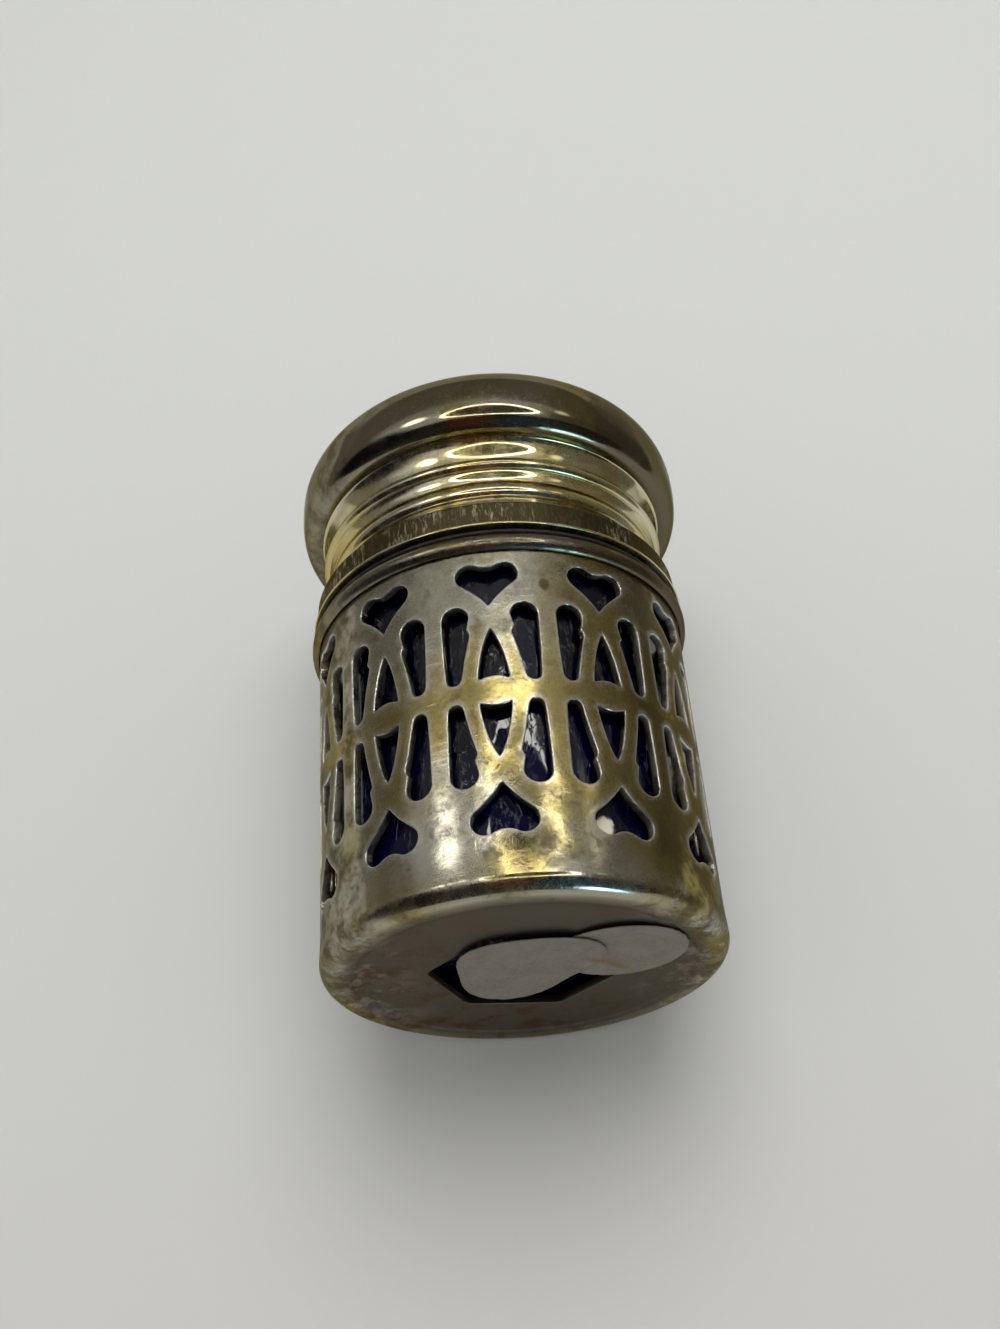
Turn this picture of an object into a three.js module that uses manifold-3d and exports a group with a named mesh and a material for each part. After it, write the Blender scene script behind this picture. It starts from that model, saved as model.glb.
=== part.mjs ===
// Salt shaker: a pierced silver-plated holder, a cobalt glass liner and a bun-shaped screw lid.
// Millimetres, +Z up along the common axis, origin at the centre of the foot's underside.
import * as THREE from "three";
import { mergeVertices } from "three/addons/utils/BufferGeometryUtils.js";
import Module from "manifold-3d";

const wasm = await Module();
wasm.setup();

// Pierced holder
const holderRadius = 20;
const holderHeight = 38.8;
const holderSheet = 0.8;
const footEdgeRadius = 1.5;
const footRingWidth = 1.8;
const footFlare = 0.12;
const footFlareHeight = 5;
const baseRecess = 0.2;
const hexMargin = 7;
const hexTurn = THREE.MathUtils.degToRad(12);

// Half-round wire round the holder's top edge
const beadHeight = 1.95;
const beadDepth = 0.7;
const solderGap = 0.1;

// Pierced pattern: two mirrored rows of hearts, arches and slots
const patternRepeats = 11;
const topMargin = 1.4;
const footMargin = 4.15;
const heartWidth = 6.3;
const heartHeight = 5.15;
const heartLobeRadius = 1.35;
const heartNotchDepth = 0.5;
const heartNotchWidth = 1.3;
const heartFlankCurve = 0.8;
const heartArchGap = 2.55;
const archWidth = 3.1;
const archBaseRise = 0.4;
const archShoulderWidth = 2.3;
const archShoulderRise = 3.8;
const plainBandHeight = 2.1;
const archBandGap = 0.2;
const slotDrop = 4.9;
const slotHeadWidth = 2.7;
const slotTailWidth = 1.5;
const slotTailInset = 0.15;
const ribWidth = 1.87;
const cuspDrop = 2.85;
const cuspHeight = 0.6;
const cuspDepth = 0.36;

// Glass liner
const linerSideGap = 0.7;
const linerFloorGap = 0.8;
const glassWall = 1.8;
const glassCornerRadius = 2.4;
const innerCornerRadius = 3.8;
const standingRimWidth = 6.5;
const puntHeight = 2.4;
const puntCrownRadius = 6.5;
const linerSeatGap = 0.2;
const flangeOverhang = 0.2;
const flangeThickness = 0.65;
const shoulderDrop = 5;
const neckSetback = 4.8;
const neckWall = 2.2;
const neckHeight = 7.35;

// Screw thread between the glass neck and the lid
const threadPitch = 3.6;
const threadBeadRadius = 0.9;
const threadBite = 0.5;
const threadTurns = 1.25;
const ringThreadTurns = 0.75;
const threadStart = 1.65;
const ringRootGap = 0.35;
const ringSheet = 0.6;
const ringLedge = 0.6;
const ringMouthGap = 1.2;

// Sealing washer under the lid's ledge
const washerThickness = 0.5;
const washerSeatGap = 0.15;
const washerEdgeGap = 0.3;

// Lid: ringed collar and bun-shaped dome
const lidSheet = 0.7;
const lidSeatGap = 0.25;
const rimOverhang = 0.6;
const rimHeight = 0.4;
const bandSetback = 0.4;
const bandHeight = 3;
const waistDrop = 2;
const lowerRingSetback = 1.5;
const lowerRingHeight = 1.9;
const lowerRingDepth = 0.65;
const grooveHeight = 1.3;
const grooveLean = 0.25;
const upperRingFlare = 0.75;
const upperRingHeight = 1.4;
const upperRingDepth = 0.6;
const coveHeight = 2.6;
const coveLean = 0.08;
const coveBendRise = 1.4;
const domeSeatSetback = 0.05;
const domeOverhang = 2.5;
const domeLift = 3.6;
const domeCrown = 8.6;
const domeFullness = 2.8;
const holeRadius = 0.7;
const holeSpacing = 4.2;
const holeRings = 2;
const holesPerRing = 6;

// How finely round forms are cut
const facetsPerRepeat = 4;
const turnFacets = patternRepeats * facetsPerRepeat;
const stepsPerTurn = 20;

// Heights that several pieces share
const beadUnderside = holderHeight - beadHeight;
const linerFootHeight = baseRecess + holderSheet + linerFloorGap;
const flangeUnderside = holderHeight + linerSeatGap;
const flangeTop = flangeUnderside + flangeThickness;
const mouthHeight = flangeTop + neckHeight;
const collarFoot = flangeTop + lidSeatGap;
const bandTop = collarFoot + rimHeight + bandHeight;
const lowerRingFoot = bandTop + waistDrop;
const upperRingFoot = lowerRingFoot + lowerRingHeight + grooveHeight;
const coveFoot = upperRingFoot + upperRingHeight;
const collarTop = coveFoot + coveHeight;
const domeFoot = collarTop + solderGap;
const washerFoot = mouthHeight + washerSeatGap;
const ringTop = washerFoot + washerThickness + washerSeatGap + ringLedge;

// Radii that several pieces share
const footRingOuter = holderRadius + footFlare - footEdgeRadius;
const footRingInner = footRingOuter - footRingWidth;
const hexCornerRadius = footRingInner - hexMargin;
const linerRadius = holderRadius - holderSheet - linerSideGap;
const puntRadius = linerRadius - standingRimWidth;
const flangeRadius = holderRadius + flangeOverhang;
const neckRadius = holderRadius - neckSetback;
const neckBoreRadius = neckRadius - neckWall;
const rimRadius = holderRadius + rimOverhang;
const bandRadius = rimRadius - bandSetback;
const lowerRingRadius = bandRadius - lowerRingSetback;
const upperRingRadius = lowerRingRadius + upperRingFlare;
const domeSeatRadius = upperRingRadius - domeSeatSetback;
const domeRadius = domeSeatRadius + domeOverhang;
const threadCrestRadius = neckRadius + threadBeadRadius;
const ringRootRadius = threadCrestRadius + ringRootGap;
const ringOuterRadius = ringRootRadius + ringSheet;
const ledgeBoreRadius = neckBoreRadius + washerEdgeGap;
const threadFoot = flangeTop + threadStart;

const silver = { color: 0xb9b3a3, roughness: 0.3, metalness: 1 };
const dullSilver = { color: 0x9c988c, roughness: 0.45, metalness: 1 };
const cobaltGlass = { color: 0x0b1238, roughness: 0.08, metalness: 0 };
const solderedBrass = { color: 0xa58f5a, roughness: 0.5, metalness: 1 };
const cork = { color: 0x9a7a52, roughness: 0.9, metalness: 0 };

// Points of an elliptic arc in a profile's or outline's own plane, ends included.
function arc(x, y, radiusX, radiusY, fromDegrees, toDegrees, steps) {
  return Array.from({ length: steps + 1 }, (unused, step) => {
    const angle = THREE.MathUtils.degToRad(fromDegrees + (toDegrees - fromDegrees) * step / steps);
    return new THREE.Vector2(x + radiusX * Math.cos(angle), y + radiusY * Math.sin(angle));
  });
}

// Points of a curve that leaves one point, bends toward a second and ends at a third.
function bend(from, toward, to, steps) {
  return new THREE.QuadraticBezierCurve(from, toward, to).getPoints(steps);
}

function point(x, y) {
  return new THREE.Vector2(x, y);
}

// A profile of radius and height turned round the Z axis.
function turned(profile) {
  return new THREE.LatheGeometry(profile, turnFacets).rotateX(Math.PI / 2);
}

// A ring whose profile closes on itself.
function turnedRing(profile) {
  return turned([...profile, profile[0].clone()]);
}

// A closed geometry as a solid that can be joined and cut; triangles without area are left out.
function solidOf(geometry) {
  const bare = geometry.clone();
  bare.deleteAttribute("normal");
  bare.deleteAttribute("uv");
  const merged = mergeVertices(bare);
  const kept = [];
  const corners = merged.index.array;
  for (let i = 0; i < corners.length; i += 3) {
    const [a, b, c] = corners.slice(i, i + 3);
    if (a !== b && b !== c && c !== a) kept.push(a, b, c);
  }
  const vertProperties = new Float32Array(merged.attributes.position.array);
  const triVerts = new Uint32Array(kept);
  return new wasm.Manifold(new wasm.Mesh({ numProp: 3, vertProperties, triVerts }));
}

function geometryOf(solid) {
  const { vertProperties, triVerts } = solid.getMesh();
  const geometry = new THREE.BufferGeometry();
  geometry.setAttribute("position", new THREE.BufferAttribute(vertProperties, 3));
  geometry.setIndex(new THREE.BufferAttribute(triVerts, 1));
  geometry.computeVertexNormals();
  return geometry;
}

function piece(name, geometry, look) {
  const mesh = new THREE.Mesh(geometry, new THREE.MeshStandardMaterial({ ...look, flatShading: true }));
  mesh.name = name;
  return mesh;
}

// A drawn cup that flares a little to a rounded foot edge, with a foot ring and a base plate just above it.
function holderCup() {
  const inside = holderRadius - holderSheet;
  const innerEdgeRadius = footEdgeRadius - holderSheet;
  const plateTop = baseRecess + holderSheet;
  return turned([
    point(0, baseRecess),
    point(footRingInner - baseRecess / 2, baseRecess),
    point(footRingInner, 0),
    ...arc(footRingOuter, footEdgeRadius, footEdgeRadius, footEdgeRadius, -90, 0, 4),
    point(holderRadius, footFlareHeight),
    point(holderRadius, holderHeight),
    point(inside, holderHeight),
    point(inside, footFlareHeight),
    ...arc(footRingOuter, footEdgeRadius, innerEdgeRadius, innerEdgeRadius, 0, -90, 2),
    point(footRingInner, plateTop),
    point(0, plateTop),
  ]);
}

function hexagonCutter() {
  const depth = baseRecess + holderSheet;
  const prism = new THREE.CylinderGeometry(hexCornerRadius, hexCornerRadius, 2 * depth, 6);
  return prism.rotateX(Math.PI / 2).rotateZ(Math.PI / 2 + hexTurn).translate(0, 0, depth);
}

// Heights of the pattern, measured up from its middle line.
const patternTop = beadUnderside - topMargin;
const patternFoot = footEdgeRadius + footMargin;
const patternMiddle = (patternTop + patternFoot) / 2;
const rowHeight = (patternTop - patternFoot) / 2;
const heartTip = rowHeight - heartHeight;
const archTip = heartTip - heartArchGap;
const slotTop = rowHeight - slotDrop;
const slotFoot = plainBandHeight / 2;
const archFoot = slotFoot + archBandGap;
const repeatWidth = 2 * Math.PI * holderRadius / patternRepeats;

function mirrored(half) {
  const otherHalf = half.slice(1, -1).reverse().map((p) => point(-p.x, p.y));
  return new THREE.Shape([...half, ...otherHalf]);
}

// Two round lobes above flanks that curve in to a point.
function heartShape() {
  const lobeX = heartWidth / 2 - heartLobeRadius;
  const lobeY = rowHeight - heartLobeRadius;
  const lobe = arc(lobeX, lobeY, heartLobeRadius, heartLobeRadius, -50, 115, 4);
  const flankTop = lobe[0];
  const flank = bend(point(0, heartTip), point(heartFlankCurve, heartTip + heartLobeRadius), flankTop, 2);
  const notchFoot = rowHeight - heartNotchDepth;
  const notch = bend(lobe.at(-1), point(heartNotchWidth / 2, notchFoot), point(0, notchFoot), 1);
  return mirrored([...flank, ...lobe.slice(1), ...notch.slice(1)]);
}

// A pointed arch whose foot swells up between its two corners.
function archShape() {
  const halfWidth = archWidth / 2;
  const foot = bend(point(0, archFoot + archBaseRise), point(halfWidth / 2, archFoot + archBaseRise),
    point(halfWidth, archFoot), 2);
  const shoulder = point(archShoulderWidth / 2, archFoot + archShoulderRise);
  const side = bend(point(halfWidth, archFoot), shoulder, point(0, archTip), 3);
  return mirrored([...foot, ...side.slice(1)]);
}

// A tapering slot with a round head; a small cusp stands in its side toward the heart.
function slotPoints() {
  const outerEdge = (repeatWidth - ribWidth) / 2;
  const headRadius = slotHeadWidth / 2;
  const tailRadius = slotTailWidth / 2;
  const tailX = outerEdge - tailRadius - slotTailInset;
  const innerEdge = outerEdge - slotHeadWidth;
  const cuspTop = slotTop - cuspDrop;
  return [
    ...arc(outerEdge - headRadius, slotTop - headRadius, headRadius, headRadius, 0, 210, 4),
    point(innerEdge + cuspDepth, cuspTop),
    point(innerEdge, cuspTop - cuspHeight),
    ...arc(tailX, slotFoot + tailRadius, tailRadius, tailRadius, 185, 360, 3),
  ];
}

// A cutter standing on its outline, turned so that it reaches outward through the wall.
function radialCutter(shape, centreX, bearing, upsideDown) {
  const reach = 4 * holderSheet;
  const cutter = new THREE.ExtrudeGeometry(shape, { depth: 2 * reach, bevelEnabled: false });
  cutter.translate(0, 0, holderRadius - reach);
  cutter.rotateZ(upsideDown ? Math.PI : 0);
  cutter.rotateX(Math.PI / 2);
  cutter.rotateZ(bearing + (upsideDown ? -1 : 1) * centreX / holderRadius);
  return cutter.translate(0, 0, patternMiddle);
}

function patternCutters() {
  const slot = slotPoints();
  const slotX = (repeatWidth - ribWidth - slotHeadWidth) / 2;
  const slotShape = (side) => new THREE.Shape(slot.map((p) => point(side * (p.x - slotX), p.y)));
  const outlines = [
    { shape: heartShape(), x: 0 },
    { shape: archShape(), x: 0 },
    { shape: slotShape(1), x: slotX },
    { shape: slotShape(-1), x: -slotX },
  ];
  const cutters = [];
  for (let repeat = 0; repeat < patternRepeats; repeat += 1) {
    const bearing = 2 * Math.PI * repeat / patternRepeats;
    for (const { shape, x } of outlines) {
      cutters.push(radialCutter(shape, x, bearing, false), radialCutter(shape, x, bearing, true));
    }
  }
  return cutters;
}

function holderSleeve() {
  const cutters = patternCutters().map(solidOf).reduce((all, cutter) => all.add(cutter));
  return geometryOf(solidOf(holderCup()).subtract(cutters).subtract(solidOf(hexagonCutter())));
}

function rimBead() {
  const bore = holderRadius + solderGap;
  const middle = beadUnderside + beadHeight / 2;
  return turnedRing(arc(bore, middle, beadDepth, beadHeight / 2, -90, 90, 5));
}

// A round-topped bead that winds up the given radius.
class Helix extends THREE.Curve {
  constructor(radius, foot, turns) {
    super();
    Object.assign(this, { radius, foot, turns });
  }

  getPoint(t) {
    const angle = 2 * Math.PI * this.turns * t;
    const height = this.foot + threadPitch * this.turns * t;
    return new THREE.Vector3(this.radius * Math.sin(angle), -this.radius * Math.cos(angle), height);
  }
}

function threadBead(radius, foot, turns) {
  const section = new THREE.Shape(arc(0, 0, threadBeadRadius, threadBeadRadius, 0, 315, 7));
  const steps = Math.round(turns * stepsPerTurn);
  return new THREE.ExtrudeGeometry(section, { steps, extrudePath: new Helix(radius, foot, turns) });
}

// A straight-sided glass pot with a pushed-up bottom, a flange that rests on the holder and a neck.
function linerPot() {
  const inside = linerRadius - glassWall;
  const outerCorner = glassCornerRadius;
  const innerCorner = innerCornerRadius;
  const floor = linerFootHeight + glassWall;
  const puntTop = linerFootHeight + puntHeight;
  const flangeEdge = flangeThickness / 2;
  const lip = (neckRadius - neckBoreRadius) / 4;
  return turned([
    ...bend(point(0, puntTop), point(puntCrownRadius, puntTop), point(puntRadius, linerFootHeight), 3),
    ...arc(linerRadius - outerCorner, linerFootHeight + outerCorner, outerCorner, outerCorner, -90, 0, 3),
    point(linerRadius, flangeUnderside),
    ...arc(flangeRadius - flangeEdge, flangeUnderside + flangeEdge, flangeEdge, flangeEdge, -90, 90, 2),
    point(neckRadius, flangeTop),
    point(neckRadius, mouthHeight - lip),
    point(neckRadius - lip, mouthHeight),
    point(neckBoreRadius + lip, mouthHeight),
    point(neckBoreRadius, mouthHeight - lip),
    ...bend(point(neckBoreRadius, flangeTop), point(neckBoreRadius, flangeTop - glassWall),
      point(inside, flangeTop - shoulderDrop), 3),
    ...arc(inside - innerCorner, floor + innerCorner, innerCorner, innerCorner, 0, -90, 2),
    ...bend(point(puntRadius - glassWall, floor), point(puntCrownRadius - glassWall, puntTop + glassWall),
      point(0, puntTop + glassWall), 2).slice(1),
  ]);
}

function glassLiner() {
  const thread = solidOf(threadBead(neckRadius, threadFoot, threadTurns));
  return geometryOf(solidOf(linerPot()).add(thread));
}

// The collar's outside from rim to dome seat: band, waist, two half-round rings round a groove, and a cove.
function collarOutside() {
  const lowerRing = arc(lowerRingRadius - lowerRingDepth, lowerRingFoot + lowerRingHeight / 2,
    lowerRingDepth, lowerRingHeight / 2, -90, 90, 4);
  const upperRing = arc(upperRingRadius - upperRingDepth, upperRingFoot + upperRingHeight / 2,
    upperRingDepth, upperRingHeight / 2, -90, 90, 4);
  const rimTop = collarFoot + rimHeight;
  const grooveFoot = point(upperRing[0].x - grooveLean, lowerRingFoot + lowerRingHeight);
  const coveStart = upperRing.at(-1);
  return [
    point(rimRadius, collarFoot),
    point(rimRadius, rimTop - rimHeight / 3),
    point(bandRadius, rimTop + rimHeight / 3),
    point(bandRadius, bandTop - rimHeight),
    point(bandRadius - rimHeight, bandTop),
    ...bend(point(bandRadius - rimHeight, bandTop + rimHeight / 4),
      point(lowerRingRadius - lowerRingDepth, bandTop + rimHeight), lowerRing[0], 3).slice(1, -1),
    ...lowerRing,
    ...bend(grooveFoot, point(grooveFoot.x, grooveFoot.y + grooveHeight / 2), upperRing[0], 2).slice(0, -1),
    ...upperRing,
    ...bend(coveStart, point(coveStart.x + coveLean, coveFoot + coveBendRise),
      point(domeSeatRadius, collarTop), 3).slice(1),
  ];
}

// Spun from thin sheet: inside, the band is wide, the waist is a straight bore and the cove flares.
function lidCollar() {
  const waistBore = lowerRingRadius - lowerRingDepth - lidSheet;
  return turnedRing([
    ...collarOutside(),
    point(domeSeatRadius - lidSheet, collarTop),
    point(waistBore, coveFoot),
    point(waistBore, lowerRingFoot),
    point(bandRadius - lidSheet, bandTop - lidSheet),
    point(bandRadius - lidSheet, collarFoot),
  ]);
}

// Points of an arc like an ellipse's but fuller at its corners, by the dome's fullness, ends included.
function fullArc(x, y, radiusX, radiusY, fromDegrees, toDegrees, steps) {
  const power = 2 / domeFullness;
  const swollen = (share) => Math.sign(share) * Math.abs(share) ** power;
  return arc(0, 0, 1, 1, fromDegrees, toDegrees, steps)
    .map((p) => point(x + radiusX * swollen(p.x), y + radiusY * swollen(p.y)));
}

// Side of the dome: it swells from its seat to its widest, then rounds over to a full crown.
function domeProfile(inset, lowerSteps, crownSteps) {
  const widest = domeFoot + domeLift;
  const swell = domeRadius - domeSeatRadius;
  const side = fullArc(domeSeatRadius - inset, widest, swell, domeLift, -90, 0, lowerSteps);
  const top = fullArc(0, widest, domeRadius - inset, domeCrown - inset, 0, 90, crownSteps).slice(1);
  top.at(-1).x = 0;
  return [...side, ...top];
}

function domeShell() {
  return turned([...domeProfile(lidSheet, 3, 5).reverse(), ...domeProfile(0, 4, 7)]);
}

function sprinkleHoles() {
  const top = domeFoot + domeLift + domeCrown;
  const hole = new THREE.CylinderGeometry(holeRadius, holeRadius, domeCrown, 8);
  hole.rotateX(Math.PI / 2).translate(0, 0, top);
  const holes = [hole];
  for (let ring = 1; ring <= holeRings; ring += 1) {
    const count = ring * holesPerRing;
    for (let i = 0; i < count; i += 1) {
      holes.push(hole.clone().translate(0, -ring * holeSpacing, 0).rotateZ(2 * Math.PI * i / count));
    }
  }
  return holes;
}

function lidDome() {
  const holes = sprinkleHoles().map(solidOf).reduce((all, hole) => all.add(hole));
  return geometryOf(solidOf(domeShell()).subtract(holes));
}

// A threaded sleeve soldered inside the collar, with a ledge that presses on the washer.
function screwRing() {
  const foot = flangeTop + ringMouthGap;
  const sleeve = turnedRing([
    point(ringRootRadius, foot),
    point(ringOuterRadius, foot),
    point(ringOuterRadius, ringTop),
    point(ledgeBoreRadius, ringTop),
    point(ledgeBoreRadius, ringTop - ringLedge),
    point(ringRootRadius, ringTop - ringLedge),
  ]);
  const beadRadius = threadCrestRadius - threadBite + threadBeadRadius;
  const bead = solidOf(threadBead(beadRadius, threadFoot + threadPitch / 2, ringThreadTurns));
  const core = solidOf(turned([point(0, foot), point(ringOuterRadius, foot), point(ringOuterRadius, ringTop),
    point(0, ringTop)]));
  return geometryOf(solidOf(sleeve).add(bead.intersect(core)));
}

function lidWasher() {
  const bore = ledgeBoreRadius;
  const edge = ringRootRadius - washerEdgeGap;
  return turnedRing([
    point(bore, washerFoot),
    point(edge, washerFoot),
    point(edge, washerFoot + washerThickness),
    point(bore, washerFoot + washerThickness),
  ]);
}

const saltShaker = new THREE.Group();
saltShaker.name = "salt_shaker";
saltShaker.add(
  piece("holder_sleeve", holderSleeve(), silver),
  piece("rim_bead", rimBead(), silver),
  piece("glass_liner", glassLiner(), cobaltGlass),
  piece("lid_washer", lidWasher(), cork),
  piece("screw_ring", screwRing(), solderedBrass),
  piece("lid_collar", lidCollar(), dullSilver),
  piece("lid_dome", lidDome(), silver),
);

export default saltShaker;
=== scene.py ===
import math
import bpy
import numpy as np
from mathutils import Matrix
from mathutils.geometry import delaunay_2d_cdt


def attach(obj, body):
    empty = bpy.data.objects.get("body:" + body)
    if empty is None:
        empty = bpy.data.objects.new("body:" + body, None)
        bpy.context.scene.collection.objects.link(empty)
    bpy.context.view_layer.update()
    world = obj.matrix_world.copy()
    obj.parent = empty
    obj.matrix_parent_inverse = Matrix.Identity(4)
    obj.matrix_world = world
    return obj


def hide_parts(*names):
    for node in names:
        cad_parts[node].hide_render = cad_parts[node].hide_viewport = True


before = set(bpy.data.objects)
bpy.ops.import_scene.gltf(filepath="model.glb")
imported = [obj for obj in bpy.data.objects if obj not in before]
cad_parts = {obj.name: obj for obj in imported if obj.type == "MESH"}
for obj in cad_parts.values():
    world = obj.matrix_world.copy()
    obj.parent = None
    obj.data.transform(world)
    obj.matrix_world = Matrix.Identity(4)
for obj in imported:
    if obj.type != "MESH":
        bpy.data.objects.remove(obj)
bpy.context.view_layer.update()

# Sizes below are millimetres along the shaker's own axis, with the foot at z = 0; meshes are made in metres.
mm = 0.001
columns = 264  # steps round every turned piece, a whole number of times the eleven repeats
print("frame loaded", len(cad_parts), "nodes")


# Points on an ellipse's arc: centre plus (radius times cosine, radius times sine) of evenly spaced angles.
def arcPoints(x, y, radiusX, radiusY, fromDegrees, toDegrees, steps=24):
    angle = np.radians(np.linspace(fromDegrees, toDegrees, steps + 1))
    return np.stack([x + radiusX * np.cos(angle), y + radiusY * np.sin(angle)], 1)


# Points on a quadratic curve: (1-t)^2 a + 2t(1-t) b + t^2 c.
def bendPoints(a, b, c, steps=16):
    t = np.linspace(0, 1, steps + 1)[:, None]
    return (1 - t) ** 2 * np.array(a) + 2 * t * (1 - t) * np.array(b) + t ** 2 * np.array(c)


# The same line with points a fixed distance apart along its length.
def spaced(line, step, closed):
    if closed:
        line = np.concatenate([line, line[:1]])
    length = np.concatenate([[0], np.cumsum(np.linalg.norm(np.diff(line, axis=0), axis=1))])
    count = max(8, int(round(length[-1] / step)))
    at = np.linspace(0, length[-1], count + 1)
    if closed:
        at = at[:-1]
    return np.stack([np.interp(at, length, line[:, k]) for k in range(2)], 1)


# Running average of neighbours, weighted by a bell of the given width in points; open lines keep their ends.
def softened(line, width, closed):
    if width <= 0:
        return line
    reach = int(math.ceil(3 * width))
    bell = np.exp(-0.5 * (np.arange(-reach, reach + 1) / width) ** 2)
    bell /= bell.sum()
    if closed:
        padded = np.concatenate([line[-reach:], line, line[:reach]])
    else:
        before, after = 2 * line[:1] - line[reach:0:-1], 2 * line[-1:] - line[-2:-reach - 2:-1]
        padded = np.concatenate([before, line, after])
    return np.stack([np.convolve(padded[:, k], bell, "valid") for k in range(2)], 1)


# A profile of (radius, height) with corners rounded and rows set closer where it bends: the row density at a
# place is 1/longest plus the turn per millimetre over the turn allowed per row. Returns rows and their
# normals.
def profileRows(line, closed, rounding=0.06, longest=0.6, turn=11):
    fine = 0.02
    line = softened(spaced(np.array(line, float), fine, closed), rounding / fine, closed)
    if closed:
        line = np.concatenate([line, line[:1]])
    before = np.concatenate([line[-2:-1] if closed else line[:1], line[:-1]])
    after = np.concatenate([line[1:], line[1:2] if closed else line[-1:]])
    along = after - before
    heading = np.unwrap(np.arctan2(along[:, 1], along[:, 0]))
    bending = np.abs(np.gradient(heading)) / fine
    density = softened(np.stack([1 / longest + bending / math.radians(turn)] * 2, 1), 6, False)[:, 0]
    gone = np.concatenate([[0], np.cumsum((density[1:] + density[:-1]) / 2 * fine)])
    count = int(math.ceil(gone[-1]))
    at = np.linspace(0, gone[-1], count + 1)
    if closed:
        at = at[:-1]
    rows = np.stack([np.interp(at, gone, line[:, k]) for k in range(2)], 1)
    angle = np.interp(at, gone, heading)
    return rows, np.stack([np.sin(angle), -np.cos(angle)], 1)


# Angles of the columns, from the front (-Y) towards +X.
def columnAngles(count=columns, turn=0.0):
    return turn + 2 * math.pi * np.arange(count) / count


# (radius, height) pairs set round the axis: x = r sin a, y = -r cos a.
def aroundAxis(radius, height, angle):
    return np.stack([radius * np.sin(angle), -radius * np.cos(angle), height + 0 * angle], -1)


# Corners of the squares of a grid of rows by columns that wraps round in its columns, and in its rows if
# closed.
def gridFaces(rows, cols, closedRows=False, offset=0):
    i = np.arange(rows if closedRows else rows - 1)[:, None]
    j = np.arange(cols)[None, :]
    nextRow = (i + 1) % rows
    nextCol = (j + 1) % cols
    corners = [i * cols + j, i * cols + nextCol, nextRow * cols + nextCol, nextRow * cols + j]
    return offset + np.stack([np.broadcast_to(c, (len(i), cols)) for c in corners], -1).reshape(-1, 4)


# A grid whose first and last rows are each one place: those rows become single points with a fan of
# triangles.
def poledGrid(grid):
    rows, cols = grid.shape[:2]
    points = np.concatenate([grid[0, :1], grid[1:-1].reshape(-1, 3), grid[-1, :1]])
    j = np.arange(cols)
    beside = (j + 1) % cols
    last = (rows - 3) * cols
    lower = np.stack([0 * j, 1 + beside, 1 + j], 1)
    upper = np.stack([1 + last + j, 1 + last + beside, 0 * j + len(points) - 1], 1)
    return points, [gridFaces(rows - 2, cols, False, 1), lower, upper]


# Points that lie within a micrometre of each other as one: the first of each place, and each point's place.
# Places are the cells of a grid, and then of the same grid moved by half a step, for pairs that a cell's
# side had parted.
def samePlaces(points):
    spots = points
    for shift in (0.0, 0.5):
        cells = np.floor(spots / 0.001 + shift)
        unused, first, place = np.unique(cells, axis=0, return_index=True, return_inverse=True)
        place = place.reshape(-1)
        spots = spots[first][place]
    return first, place


# Points of several parts merged where they meet; faces keep their order.
def welded(points, faceGroups):
    first, place = samePlaces(points)
    return points[first], [place[group] for group in faceGroups]


# A mesh object from points in millimetres and arrays of triangles or squares; normals are one per face
# corner.
def makePiece(name, points, faceGroups, material, cornerNormals=None, marks=None):
    mesh = bpy.data.meshes.new(name)
    corners = np.concatenate([g.reshape(-1) for g in faceGroups])
    sides = np.concatenate([np.full(len(g), g.shape[1]) for g in faceGroups])
    mesh.vertices.add(len(points))
    mesh.vertices.foreach_set("co", (points * mm).astype(np.float32).reshape(-1))
    mesh.loops.add(len(corners))
    mesh.loops.foreach_set("vertex_index", corners.astype(np.int32))
    mesh.polygons.add(len(sides))
    mesh.polygons.foreach_set("loop_start", (np.cumsum(sides) - sides).astype(np.int32))
    mesh.update(calc_edges=True)
    mesh.polygons.foreach_set("use_smooth", np.ones(len(sides), bool))
    if cornerNormals is not None:
        mesh.normals_split_custom_set(cornerNormals.astype(float).tolist())
    for mark, values in (marks or {}).items():
        mesh.attributes.new(mark, "FLOAT", "POINT").data.foreach_set("value", values.astype(np.float32))
    piece = bpy.data.objects.new(name, mesh)
    bpy.context.scene.collection.objects.link(piece)
    mesh.materials.append(material)
    print(name, len(points), "points", int((sides - 2).sum()), "triangles")
    return piece


# A turned piece: every profile row carried round the axis; normals lean as the profile does. grime marks
# rows that lie below their neighbours, worked out from the profile's own hollows. With poles, the first and
# last rows lie on the axis.
def turnedPiece(name, rows, normals, closed, material, displace=None, poles=False):
    angle = columnAngles()
    radius = rows[:, :1] + 0 * angle
    height = rows[:, 1:] + 0 * angle
    if displace is not None:
        radius, height = displace(radius, height, angle)
    points = aroundAxis(radius, height, angle)
    if poles:
        points, groups = poledGrid(points)
        return makePiece(name, points, groups, material)
    faces = gridFaces(len(rows), columns, closed)
    facing = aroundAxis(normals[:, :1] + 0 * angle, normals[:, 1:] + 0 * angle, angle).reshape(-1, 3)
    cornerNormals = None if displace is not None else facing[faces.reshape(-1)]
    marks = {"grime": np.repeat(hollows(rows), columns)}
    return makePiece(name, points.reshape(-1, 3), [faces], material, cornerNormals, marks)


# How far each row lies under the profile's own outline averaged over a millimetre and a half, from 0 to 1.
def hollows(rows):
    gap = rows[:, None, :] - rows[None, :, :]
    weight = np.exp(-0.5 * (np.linalg.norm(gap, axis=2) / 0.75) ** 2)
    average = (weight[:, :, None] * rows[None, :, :]).sum(1) / weight.sum(1)[:, None]
    sink = average[:, 0] - rows[:, 0]
    return np.clip(sink / 0.25, 0, 1)


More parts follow.
